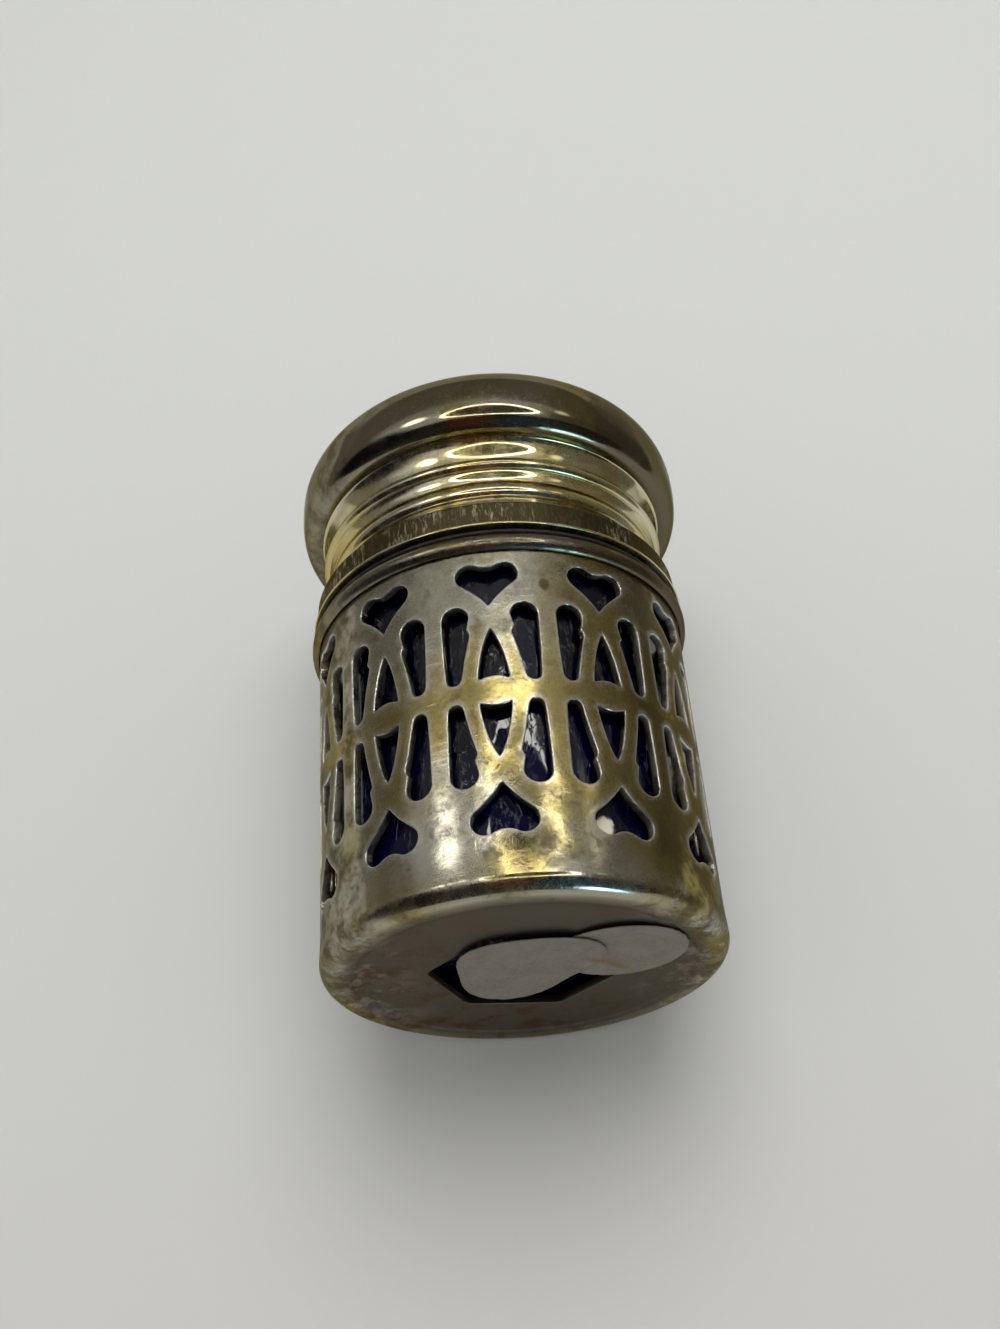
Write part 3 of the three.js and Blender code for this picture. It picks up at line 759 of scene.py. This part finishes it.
# The glass's outside and inside as one profile from axis to axis, with the thread lifted on its neck.
def makeLiner(g, material):
    inner = g["radius"] - g["wall"]
    floor = g["foot"] + g["wall"]
    punt = g["foot"] + g["puntHeight"]
    top = g["flangeFoot"] + g["flangeThickness"]
    mouth = top + g["neckHeight"]
    edge, corner, innerCorner = g["flangeThickness"] / 2, g["corner"], g["innerCorner"]
    lip = g["mouthRounding"]
    line = np.concatenate([
        bendPoints((0, punt), (g["puntCrown"], punt), (g["puntRadius"], g["foot"])),
        arcPoints(g["radius"] - corner, g["foot"] + corner, corner, corner, -90, 0),
        [(g["radius"], g["flangeFoot"])],
        arcPoints(g["flangeRadius"] - edge, g["flangeFoot"] + edge, edge, edge, -90, 90),
        [(g["neckRadius"], top)],
        arcPoints(g["neckRadius"] - lip, mouth - lip, lip, lip, 0, 90),
        arcPoints(g["neckBore"] + lip, mouth - lip, lip, lip, 90, 180),
        bendPoints((g["neckBore"], top), (g["neckBore"], top - g["wall"]), (inner, top - g["shoulderDrop"])),
        arcPoints(inner - innerCorner, floor + innerCorner, innerCorner, innerCorner, 0, -90),
        bendPoints((g["puntRadius"] - g["wall"], floor), (g["puntCrown"] - g["wall"], punt + g["wall"]),
                   (0, punt + g["wall"]))])
    rows, normals = profileRows(line, False, 0.06, 0.9, 14)
    neck = (rows[:, 0] > g["neckRadius"] - 0.01) & (rows[:, 1] > top + 0.3) & (rows[:, 1] < mouth - lip)
    first, last = np.flatnonzero(neck)[[0, -1]]
    heights = np.linspace(rows[first, 1], rows[last, 1], 44)
    straight = np.stack([0 * heights + g["neckRadius"], heights], 1)
    rows = np.concatenate([rows[:first], straight, rows[last + 1:]])
    rows[0, 0] = rows[-1, 0] = 0
    normals = np.zeros_like(rows)
    return turnedPiece("glassLiner", rows, normals, False, material,
                       lambda radius, height, angle: threadLift(g, radius, height, angle), True)


glassLook = dict(
    # grime is the near-black painted shade above the holder's edge, and dirt the paler patches within it
    through=(0.0015, 0.0022, 0.018), lit=(0.002, 0.002, 0.060), grime=(0.012, 0.010, 0.008),
    dirt=(0.06, 0.045, 0.03), waveDepth=0.22, creaseDepth=0.000020,
    deposit=(8.82, -16.26, 6.95), depositRadius=1.2, cream=(0.70, 0.66, 0.52),
)


# Dark cobalt glass: slow waves with a crumple of narrow slanting creases over them, bluer toward the foot
# where light comes in from below, painted near black above the holder's edge as shade in the gap under the
# lid, and smeared with a thin film.
def glassFinish():
    g = glassLook
    f = Finish("cobalt glass")
    height = f.dot(f.place, (0, 0, 1))
    waves = f.bump(f.noise(f.stretched((1, 1, 0.5)), 240, 2, 0.5, 0.3), g["waveDepth"], 0.0006)
    strands = f.noise(f.stretched((1, 1, 0.4), (0.5, 0.35, 0)), 800, 3, 0.5, 1.5)
    crumpled = f.bump(f.ramp(strands, 0.475, 0.545), 1.0, g["creaseDepth"], waves)
    smear = f.noise(f.stretched((1, 1, 0.35)), 420, 5, 0.6)
    clouds = f.ramp(f.noise(f.place, 130, 3, 0.5), 0.38, 0.62, 0.2, 1)
    bluer = f.math("MULTIPLY", f.ramp(height, 0.030, 0.006), clouds)
    film = f.ramp(smear, 0.55, 0.75, 0, 0.05)
    colour = f.mix(bluer, g["through"], g["lit"])
    # Above the holder's edge the glass is painted near black with paler patches and lets no light through:
    # painted shade for the gap under the lid.
    gapShade = f.ramp(height, 0.0372, 0.0384)
    dirt = f.math("MULTIPLY", f.ramp(f.noise(f.place, 1100, 4, 0.7), 0.52, 0.66), 0.5)
    colour = f.mix(gapShade, colour, f.mix(dirt, g["grime"], g["dirt"]))
    edge = f.math("MULTIPLY_ADD", f.noise(f.place, 1500, 4, 0.7), 0.0012, -0.0006)
    crust = f.math("ADD", f.away(f.place, g["deposit"], (1, 1, 0.75)), edge)
    crust = f.ramp(crust, g["depositRadius"] * mm, 0.6 * g["depositRadius"] * mm)
    colour = f.mix(crust, colour, g["cream"])
    clear = f.math("MULTIPLY", f.math("SUBTRACT", 1.0, crust), f.ramp(gapShade, 0, 1, 0.72, 0.0))
    clear = f.math("MULTIPLY", clear, f.math("SUBTRACT", 1.0, film))
    coarse = f.ramp(f.math("MAXIMUM", crust, f.math("MULTIPLY", gapShade, 0.5)), 0, 1, 0, 0.7)
    rough = f.math("MAXIMUM", f.ramp(smear, 0.40, 0.75, 0.012, 0.06), coarse)
    f.set(Base_Color=colour, Roughness=rough, Normal=crumpled, IOR=1.5, Transmission_Weight=clear,
          Specular_IOR_Level=0.4)
    return f.material


liner = makeLiner(linerShape, glassFinish())
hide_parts("glass_liner")
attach(liner, "liner")


collarShape = dict(
    foot=39.9, rimRadius=20.6, rimHeight=0.4, bandRadius=20.2, bandHeight=3.0, waistDrop=2.0, sheet=0.7,
    lowerRing=18.7, lowerHeight=1.9, lowerDepth=0.65, groove=1.3, grooveLean=0.25,
    upperRing=19.45, upperHeight=1.4, upperDepth=0.6,
    coveHeight=2.6, coveLean=0.08, coveRise=1.4, lipReach=0.3, seatRadius=19.65,
)


# The collar from its rim up: band, waist, ring, leaning groove, ring and cove; its inside runs straight.
def makeCollar(c, material):
    bandTop = c["foot"] + c["rimHeight"] + c["bandHeight"]
    lowerFoot = bandTop + c["waistDrop"]
    upperFoot = lowerFoot + c["lowerHeight"] + c["groove"]
    coveFoot = upperFoot + c["upperHeight"]
    top = coveFoot + c["coveHeight"]
    lowerHalf, upperHalf = c["lowerHeight"] / 2, c["upperHeight"] / 2
    waist, groove = c["lowerRing"] - c["lowerDepth"], c["upperRing"] - c["upperDepth"]
    lower = arcPoints(waist, lowerFoot + lowerHalf, c["lowerDepth"], lowerHalf, -90, 90, 30)
    upper = arcPoints(groove, upperFoot + upperHalf, c["upperDepth"], upperHalf, -90, 90, 30)
    leaning, bore, seat = groove - c["grooveLean"], waist - c["sheet"], c["seatRadius"]
    lip = (seat - c["lipReach"], top - c["lipReach"])
    band, insideBand = c["bandRadius"], c["bandRadius"] - c["sheet"]
    line = np.concatenate([
        [(c["rimRadius"], c["foot"]), (c["rimRadius"], c["foot"] + 0.28), (band, c["foot"] + 0.52)],
        [(band, bandTop - 0.4), (band - 0.4, bandTop)],
        bendPoints((band - 0.42, bandTop + 0.1), (waist, bandTop + 0.4), lower[0]), lower[1:],
        bendPoints((leaning, upperFoot - c["groove"]), (leaning, upperFoot - c["groove"] / 2), upper[0]),
        upper[1:],
        bendPoints(upper[-1], (groove + c["coveLean"], coveFoot + c["coveRise"]), lip)[1:],
        bendPoints(lip, (seat - 0.5 * c["lipReach"], top - 0.02), (seat, top))[1:],
        [(seat - c["sheet"], top), (bore, coveFoot), (bore, lowerFoot),
         (insideBand, bandTop - c["sheet"]), (insideBand, c["foot"])]])
    rows, normals = profileRows(line, True, 0.05, 0.6, 11)
    return turnedPiece("lidCollar", rows, normals, True, material)


bandLook = dict(low=40.2, high=43.4, colour=(0.095, 0.078, 0.042), worn=(0.56, 0.50, 0.34))


# The collar's band was roughened for the fingers: short upright scratches, dark between them, paler where
# worn.
def bandMarks(f, colour, rough, patches, mottle):
    b = bandLook
    height = f.dot(f.place, (0, 0, 1))
    low, high = b["low"] * mm, b["high"] * mm
    band = f.math("MULTIPLY", f.ramp(height, low, low + 0.0003), f.ramp(height, high, high - 0.0005))
    strokes = f.noise(f.stretched((1, 1, 0.22)), 2600, 4, 0.75)
    places = f.ramp(f.noise(f.place, 190, 3, 0.5), 0.45, 0.62, 0.15, 1.0)
    rubbed = f.mix(f.math("MULTIPLY", f.ramp(strokes, 0.50, 0.62), places), b["colour"], b["worn"])
    bandRough = f.ramp(strokes, 0.35, 0.65, 0.34, 0.52)
    return f.mix(band, colour, rubbed), f.ramp(band, 0, 1, rough, bandRough, False)


collarLook = dict(
    silverLook, clean=(0.80, 0.76, 0.60), yellowed=(0.70, 0.59, 0.28), brown=(0.36, 0.30, 0.17),
    polish=0.07, haze=0.42, hazeShare=0.36, grainDepth=0.05, scratchDepth=0.05,
)
collarFinish = silverFinish("collar plate", collarLook, yellowing=0.06, tarnishAndSideShade=-0.15, more=bandMarks)
collar = makeCollar(collarShape, collarFinish)
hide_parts("lid_collar")
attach(collar, "lid")


domeShape = dict(
    foot=52.55, seatRadius=19.65, radius=21.9, lift=3.65, crown=8.6, fullness=2.8, sheet=0.7,
    holeRadius=0.7, holeSpacing=4.2, holeRings=2, holesPerRing=6,
    wornEdge=0.12, levelRing=0.08,   # width of each hole's worn edge, and of the level ring round it
    topRadius=12.0, gridStep=0.55,   # the part round the holes, and the step of its net
)


# Height of the dome over a radius: widest height + crown (1 - (r/R)^n)^(1/n).
def domeHeight(d, radius, inset):
    power = d["fullness"]
    share = np.clip(radius / (d["radius"] - inset), 0, 1)
    return d["foot"] + d["lift"] + (d["crown"] - inset) * (1 - share ** power) ** (1 / power)


# Flat places set on the dome: each takes the height over its own distance from the axis, less a depth.
def onDome(d, places, inset, depth=0.0):
    height = domeHeight(d, np.linalg.norm(places, axis=1), inset) - depth
    return np.concatenate([places, height[:, None]], 1)


# Middles of the sprinkle holes: one on the axis, and rings of evenly spaced holes, more in each ring.
def holeMiddles(d):
    middles = [(0.0, 0.0)]
    for ring in range(1, d["holeRings"] + 1):
        count, reach = ring * d["holesPerRing"], ring * d["holeSpacing"]
        bearings = 2 * math.pi * np.arange(count) / count
        middles += [(reach * math.sin(b), -reach * math.cos(b)) for b in bearings]
    return middles


# The dome's shell is carried round the axis down to the part with the holes, whose two faces are flat nets
# set on the dome. The side below the widest place is a fuller kind of ellipse: cosine and sine, each to the
# power 2/n.
def makeDome(d, material):
    angle = columnAngles()
    middle = d["foot"] + d["lift"]
    power = 2 / d["fullness"]
    rings = []
    for inset in (0.0, d["sheet"]):
        below = np.linspace(math.pi / 2, 0, 120)
        side = np.stack([d["seatRadius"] - inset + (d["radius"] - d["seatRadius"]) * np.cos(below) ** power,
                         middle - d["lift"] * np.sin(below) ** power], 1)
        sweep = np.linspace(0, math.pi / 2, 400)[1:]
        over = (d["radius"] - inset) * np.cos(sweep) ** power
        over = over[over > d["topRadius"]]
        over = np.concatenate([over, [d["topRadius"]]])
        rings.append(np.concatenate([side, np.stack([over, domeHeight(d, over, inset)], 1)]))
    outer, inner = rings
    line = np.concatenate([inner[::-1], outer])
    rows, unused = profileRows(line, False, 0.04, 0.6, 9)
    apart = np.linalg.norm(np.diff(rows, axis=0), axis=1) > 0.01
    rows = rows[np.concatenate([[True], apart])]
    rows[0], rows[-1] = inner[-1], outer[-1]
    shell = aroundAxis(rows[:, :1] + 0 * angle, rows[:, 1:] + 0 * angle, angle).reshape(-1, 3)
    shellFaces = gridFaces(len(rows), columns)
    border = np.stack([d["topRadius"] * np.sin(angle), -d["topRadius"] * np.cos(angle)], 1)
    steps = np.arange(-24, 25) * d["gridStep"]
    grid = np.stack(np.meshgrid(steps, steps), -1).reshape(-1, 2)
    grid = grid[np.linalg.norm(grid, axis=1) < d["topRadius"] - 0.3]
    loop = arcPoints(0, 0, 1, 1, 0, 360, 28)[:-1]
    worn, level = d["wornEdge"], d["levelRing"]
    middles = holeMiddles(d)
    holes = [loop * d["holeRadius"] + m for m in middles]
    wide = [loop * (d["holeRadius"] + worn + level) + m for m in middles]
    sheet, sheetFaces = piercedSheet(grid, border, wide, 0.35)
    back, backFaces = piercedSheet(grid, border, holes, 0.35)
    parts = [shell, onDome(d, sheet, 0.0), onDome(d, back, d["sheet"])]
    faces = [shellFaces, sheetFaces + len(shell), backFaces[:, ::-1] + len(shell) + len(sheet)]
    start = sum(len(part) for part in parts)
    turn = np.radians([0, 30, 60, 90])
    backs = np.concatenate([[worn + level], worn * (1 - np.sin(turn))])
    depths = np.concatenate([[0], worn * (1 - np.cos(turn))])
    for hole in holes:
        into = intoOpening(hole)
        walls = [onDome(d, hole - standing * into, 0.0, depth) for standing, depth in zip(backs, depths)]
        walls.append(onDome(d, hole, d["sheet"]))
        parts.append(np.concatenate(walls))
        faces.append(gridFaces(len(walls), len(hole), False, start))
        start += len(parts[-1])
    points, groups = welded(np.concatenate(parts), faces)
    marks = {"grime": np.zeros(len(points))}
    return makePiece("lidDome", points, groups, material, None, marks)


domeLook = dict(
    silverLook, clean=(0.34, 0.31, 0.235), yellowed=(0.29, 0.235, 0.11), brown=(0.14, 0.115, 0.075),
    polish=0.07, haze=0.30, hazeShare=0.25, dentDepth=0.15, grainDepth=0.04, scratchDepth=0.06,
)
domeFinish = silverFinish("dome plate", domeLook, tarnishAndSideShade=paintedSideShade(-0.08, 0.34, 0.12), yellowing=-0.04)
dome = makeDome(domeShape, domeFinish)
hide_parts("lid_dome")
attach(dome, "lid")


ringShape = dict(
    outer=17.05, root=16.45, foot=40.85, top=48.4, ledge=0.6, ledgeBore=13.3,
    threadRadius=0.9, threadBite=0.5, rootGap=0.35, threadPitch=3.6, threadLow=43.1, threadTurns=0.75,
)


# A tube with a ledge at its top; its thread stands into the bore by the neck's half-round ridge.
def makeScrewRing(s, material):
    rows, normals = profileRows([
        (s["root"], s["foot"]), (s["outer"], s["foot"]), (s["outer"], s["top"]), (s["ledgeBore"], s["top"]),
        (s["ledgeBore"], s["top"] - s["ledge"]), (s["root"], s["top"] - s["ledge"])], True, 0.05, 0.4, 14)
    reach = s["root"] - s["rootGap"] - s["threadBite"] + s["threadRadius"]

    def lift(radius, height, angle):
        gone = angle / (2 * math.pi)
        line = s["threadLow"] + s["threadPitch"] * gone
        ends = np.clip(gone / 0.03, 0, 1) * np.clip((s["threadTurns"] - gone) / 0.03, 0, 1)
        ridge = np.sqrt(np.clip(s["threadRadius"] ** 2 - (height - line) ** 2, 0, None)) * np.sqrt(ends)
        bore = np.minimum(radius, reach - ridge)
        onBore = (np.abs(radius - s["root"]) < 0.03) & (ridge > 0)
        return np.where(onBore, bore, radius), height

    return turnedPiece("screwRing", rows, normals, True, material, lift)


# Brass with dark patches and turning lines round the axis.
def brassFinish():
    f = Finish("soldered brass")
    patches = f.noise(f.place, 400, 5, 0.6)
    colour = f.mix(f.ramp(patches, 0.4, 0.7), (0.55, 0.40, 0.16), (0.20, 0.14, 0.07))
    lines = f.noise(f.stretched((0.04, 0.04, 1)), 3000, 3, 0.7)
    f.set(Base_Color=colour, Metallic=1.0, Roughness=f.ramp(patches, 0.3, 0.7, 0.3, 0.55),
          Normal=f.bump(lines, 0.2, 0.00003))
    return f.material


screwRing = makeScrewRing(ringShape, brassFinish())
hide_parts("screw_ring")
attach(screwRing, "lid")

washerShape = dict(bore=13.3, edge=16.15, foot=47.15, thickness=0.5)


# A flat ring: a rectangle carried round the axis.
def makeWasher(w, material):
    top = w["foot"] + w["thickness"]
    corners = [(w["bore"], w["foot"]), (w["edge"], w["foot"]), (w["edge"], top), (w["bore"], top)]
    rows, normals = profileRows(corners, True, 0.06, 0.5, 16)
    return turnedPiece("lidWasher", rows, normals, True, material)


# Pressed cork: grains as cells of uneven brown, with dark specks.
def corkFinish():
    f = Finish("pressed cork")
    grain = f.cells(f.place, 1500)
    colour = f.mix(f.ramp(grain, 0.1, 0.7), (0.30, 0.19, 0.10), (0.50, 0.34, 0.19))
    colour = f.mix(f.ramp(f.noise(f.place, 900, 4), 0.6, 0.75), colour, (0.12, 0.07, 0.04))
    f.set(Base_Color=colour, Roughness=0.9, Normal=f.bump(grain, 0.5, 0.0001))
    return f.material


washer = makeWasher(washerShape, corkFinish())
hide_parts("lid_washer")
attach(washer, "washer")


labelLook = dict(
    plate=0.2, thickness=0.1, rings=16, steps=240, fray=0.05,
    paper=(0.26, 0.24, 0.195), smudge=(0.20, 0.18, 0.145), rust=(0.22, 0.12, 0.02),
    streak=((6.0, -3.4, 0), (10.2, 1.2, 0)),
    ringMiddle=(9.9, -4.1, 0), ringRadius=3.9,
)
labels = dict(
    roundLabel=dict(middle=(9.34, -3.91), halfWidths=(6.5, 6.5), turn=0.0, wave=0.0, waveTurn=0.0,
                    gap=0.02, lift=0.32, liftFrom=-1.5, liftTo=-9.8),
    ovalLabel=dict(middle=(0.03, -2.66), halfWidths=(8.6, 6.55), turn=-57.6, wave=0.10, waveTurn=-134.5,
                   gap=0.17, lift=0.38, liftFrom=3.5, liftTo=-9.0),
)


# A paper label under the base plate. Its outline is an ellipse whose radius also swells and shrinks three
# times round, with a little fray; rings of that outline shrink to its middle on both faces. Toward the
# shaker's front the paper stands off the plate by lift times the square of the way from liftFrom to liftTo.
def makeLabel(name, l, look, material):
    angle = 2 * math.pi * np.arange(look["steps"]) / look["steps"]
    turned = angle - math.radians(l["turn"])
    a, b = l["halfWidths"]
    radius = 1 / np.sqrt((np.cos(turned) / a) ** 2 + (np.sin(turned) / b) ** 2)
    radius *= 1 + l["wave"] * np.cos(3 * (angle - math.radians(l["waveTurn"])))
    rng = np.random.default_rng(7)
    fray = sum(rng.uniform(-1, 1) * np.cos(k * angle + rng.uniform(0, 6.3)) for k in range(17, 60, 3)) / 3
    radius += look["fray"] * fray
    shares = np.linspace(0, 1, look["rings"] + 1) ** 0.8
    rows = []
    for shrink, drop in [(k, 0.0) for k in shares] + [(k, look["thickness"]) for k in shares[::-1]]:
        x = l["middle"][0] + shrink * radius * np.cos(angle)
        y = l["middle"][1] + shrink * radius * np.sin(angle)
        way = np.clip((l["liftFrom"] - y) / (l["liftFrom"] - l["liftTo"]), 0, None)
        rows.append(np.stack([x, y, look["plate"] - l["gap"] - drop - l["lift"] * way ** 2], 1))
    points, groups = poledGrid(np.stack(rows))
    return makePiece(name, points, [g[:, ::-1] for g in groups], material)


# Old paper: fibres and grey smudges, darker at the rim of a faint circle, with one rusty streak.
def paperFinish(look):
    f = Finish("old paper")
    fibres = f.noise(f.place, 2600, 5, 0.7)
    cloud = f.noise(f.place, 320, 4, 0.6)
    colour = f.mix(f.ramp(f.math("MULTIPLY_ADD", fibres, 0.5, f.math("MULTIPLY", cloud, 0.6)), 0.42, 0.72),
                   look["paper"], look["smudge"])
    out = f.away(f.place, look["ringMiddle"], (1, 1, 0))
    circle = f.math("ABSOLUTE", f.math("SUBTRACT", out, look["ringRadius"] * mm))
    colour = f.mix(f.ramp(circle, 0.0003, 0.00005, 0, 0.35), colour, look["smudge"])
    start, end = (np.array(c) for c in look["streak"])
    along = (end - start) / np.linalg.norm(end - start)
    across = np.cross(along, [0, 0, 1.0])
    aside = f.math("ABSOLUTE", f.math("SUBTRACT", f.dot(f.place, tuple(across)), float(across @ start) * mm))
    way = f.math("SUBTRACT", f.dot(f.place, tuple(along)), float(along @ start) * mm)
    length = float(np.linalg.norm(end - start)) * mm
    middle = f.math("ABSOLUTE", f.math("SUBTRACT", way, length / 2))
    streak = f.math("MULTIPLY", f.ramp(f.math("MULTIPLY_ADD", cloud, 0.0012, aside), 0.0015, 0.0004),
                    f.ramp(middle, length * 0.62, length * 0.3))
    colour = f.mix(f.math("MULTIPLY", streak, f.ramp(fibres, 0.3, 0.6, 0.45, 0.95)), colour, look["rust"])
    f.set(Base_Color=colour, Roughness=0.85, Normal=f.bump(fibres, 0.35, 0.00006))
    return f.material


paper = paperFinish(labelLook)
for labelName, label in labels.items():
    piece = makeLabel(labelName, label, labelLook, paper)
    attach(piece, "holder")

stageLook = dict(
    footPoint=(0.0, 20.1, 1.6), widePoint=(0.0, 21.95, 56.2), size=900.0, rightEdge=115.0,
    far=(0.65, 0.66, 0.635), near=(0.61, 0.60, 0.58),
)


# A flat sheet that touches the foot's back edge and the dome's widest place, seen and lit from the shaker's
# side only, and that ends a little way to the right of it.
def makeTable(s, material):
    foot, wide = np.array(s["footPoint"]), np.array(s["widePoint"])
    up = (wide - foot) / np.linalg.norm(wide - foot)
    side = np.array([1.0, 0.0, 0.0])
    middle = (foot + wide) / 2
    steps = np.linspace(-s["size"] / 2, s["size"] / 2, 3)
    a, b = np.meshgrid(np.minimum(steps, s["rightEdge"]), steps, indexing="ij")
    points = middle + a[..., None] * side + b[..., None] * up
    index = np.arange(9).reshape(3, 3)
    faces = np.stack([index[:-1, :-1], index[1:, :-1], index[1:, 1:], index[:-1, 1:]], -1).reshape(-1, 4)
    return makePiece("table", points.reshape(-1, 3), [faces], material)


# Pale laminate, painted a little darker on the near side as shade where the light falls off; its back face
# is clear.
def tableFinish(s):
    f = Finish("pale table")
    along = f.dot(f.place, (0, 0, 1))
    cloud = f.noise(f.place, 9, 3, 0.5)
    across = f.math("MULTIPLY_ADD", cloud, 0.02, along)
    # Painted shade: the near side is darker, as the light falls off toward it.
    colour = f.mix(f.ramp(across, -0.09, 0.10), s["near"], s["far"])
    f.set(Base_Color=colour, Roughness=0.55, Specular_IOR_Level=0.3)
    clear = f.node("ShaderNodeBsdfTransparent")
    both = f.node("ShaderNodeMixShader", Fac=f.node("ShaderNodeNewGeometry").outputs["Backfacing"])
    f.tree.links.new(f.shader.outputs[0], both.inputs[1])
    f.tree.links.new(clear.outputs[0], both.inputs[2])
    output = next(n for n in f.tree.nodes if n.type == "OUTPUT_MATERIAL")
    f.tree.links.new(both.outputs[0], output.inputs[0])
    return f.material


table = makeTable(stageLook, tableFinish(stageLook))

# Directions are a bearing from -Y toward +X and a height, in degrees, and widths are degrees too.
worldLook = dict(
    level=0.5,
    patches=[  # bearing and height, half widths, softness of the edge, colour
        ((80, 6), (54, 48), 0.55, (0.11, 0.105, 0.08)),
        ((-92, 18), (36, 40), 0.45, (0.19, 0.18, 0.15)),
        ((0, 62), (75, 24), 0.35, (0.15, 0.14, 0.115)),
        ((0, -48), (78, 50), 0.22, (0.030, 0.026, 0.020)),
        ((-62, -12), (32, 38), 0.40, (0.006, 0.006, 0.006)),
        ((-4, -32), (16, 40), 0.45, (0.090, 0.034, 0.032)),
        ((34, -33), (26, 34), 0.50, (0.030, 0.050, 0.075)),
        ((-29, 32), (33, 9), 0.5, (0.36, 0.355, 0.32)),
        ((-35, 22.5), (8.5, 7), 0.5, (4.3, 4.2, 3.9)),
        ((48, 25), (5, 6), 0.6, (1.3, 1.25, 1.1)),
        ((86, -64), (15, 10), 0.5, (3.0, 5.2, 6.6)),
    ],
    ring=dict(place=(7, 17), halfWidths=(24.5, 15), width=0.065, colour=(12.5, 12.2, 11.2),
              inside=(0.10, 0.09, 0.065)),
)


# The room round the shaker: one even level, in which metal also sees the room's dark and bright patches and
# its ring lamp. Each is an oval on the plane that faces it: the distance along its two axes over its half
# widths, faded from 1 inward.
def makeWorld(w):
    world = bpy.data.worlds.new("room")
    bpy.context.scene.world = world
    world.use_nodes = True
    n = Nodes(world.node_tree)
    direction = n.node("ShaderNodeTexCoord").outputs["Generated"]

    def ovalDistance(place, halfWidths):
        bearing, height = np.radians(place)
        flat = math.cos(height)
        middle = np.array([math.sin(bearing) * flat, -math.cos(bearing) * flat, math.sin(height)])
        side = np.cross(middle, [0, 0, 1.0])
        side /= np.linalg.norm(side)
        up = np.cross(side, middle)
        ahead = n.math("MAXIMUM", n.dot(direction, tuple(middle)), 0.02)
        parts = []
        for axis, half in ((side, halfWidths[0]), (up, halfWidths[1])):
            share = n.math("DIVIDE", n.dot(direction, tuple(axis)), ahead)
            share = n.math("ABSOLUTE", n.math("DIVIDE", share, math.tan(math.radians(half))))
            parts.append(n.math("POWER", share, 2))
        return n.math("SQRT", n.math("ADD", parts[0], parts[1]))

    colour = (w["level"],) * 3
    for place, halfWidths, soft, tint in w["patches"]:
        amount = n.ramp(ovalDistance(place, halfWidths), 1, 1 - soft)
        colour = n.mix(amount, colour, tint)
    ring = w["ring"]
    away = ovalDistance(ring["place"], ring["halfWidths"])
    colour = n.mix(n.ramp(away, 1, 0.9), colour, ring["inside"])
    aside = n.math("ABSOLUTE", n.math("SUBTRACT", away, 1))
    colour = n.mix(n.ramp(aside, ring["width"], ring["width"] * 0.3), colour, ring["colour"])
    mirrored = n.node("ShaderNodeLightPath").outputs["Is Glossy Ray"]
    background = n.node("ShaderNodeBackground", Color=n.mix(mirrored, (w["level"],) * 3, colour))
    n.tree.links.new(background.outputs[0], n.node("ShaderNodeOutputWorld").inputs[0])


makeWorld(worldLook)

lampLook = dict(
    overhead=dict(place=(60, -560, 250), aim=(0, 0, 20), size=520, power=2.3, colour=(1.0, 0.995, 0.98)),
)


# Round lamps, each aimed along its own -Z at a point of the shaker; metal shows the room's own lamps
# instead.
def makeLamps(lamps):
    for name, l in lamps.items():
        data = bpy.data.lights.new(name, "AREA")
        data.shape = "DISK"
        data.size = l["size"] * mm
        data.energy = l["power"]
        data.color = l["colour"]
        lamp = bpy.data.objects.new(name, data)
        lamp.visible_glossy = False
        bpy.context.scene.collection.objects.link(lamp)
        place, aim = np.array(l["place"], float), np.array(l["aim"], float)
        back = (place - aim) / np.linalg.norm(place - aim)
        side = np.cross([0.3, 0.1, 1.0], back)
        side /= np.linalg.norm(side)
        up = np.cross(back, side)
        turn = Matrix([[*row] for row in np.stack([side, up, back], 1)]).to_4x4()
        turn.translation = place * mm
        lamp.matrix_world = turn


makeLamps(lampLook)

cameraLook = dict(
    place=(4.9327904, -134.50440466, -50.87010233),
    right=(0.99422106, 0.08427734, -0.06649666),
    down=(-0.101581, 0.53819835, -0.83667427),
    forward=(-0.03472429, 0.83859398, 0.54364912),
    lens=38.938, sideShift=0.0038,
)


# The camera stands at its place and looks along forward, with the picture's right and down as given.
def makeCamera(c):
    data = bpy.data.cameras.new("camera")
    data.sensor_width = 36
    data.lens = c["lens"]
    data.shift_x = c["sideShift"]
    data.clip_start = 0.005
    data.clip_end = 20
    camera = bpy.data.objects.new("camera", data)
    bpy.context.scene.collection.objects.link(camera)
    axes = np.stack([np.array(c["right"]), -np.array(c["down"]), -np.array(c["forward"])], 1)
    turn = Matrix([[*row] for row in axes]).to_4x4()
    turn.translation = np.array(c["place"]) * mm
    camera.matrix_world = turn
    bpy.context.scene.camera = camera


makeCamera(cameraLook)
bpy.context.scene.view_settings.view_transform = "Standard"
print("stage, lamps and camera placed")
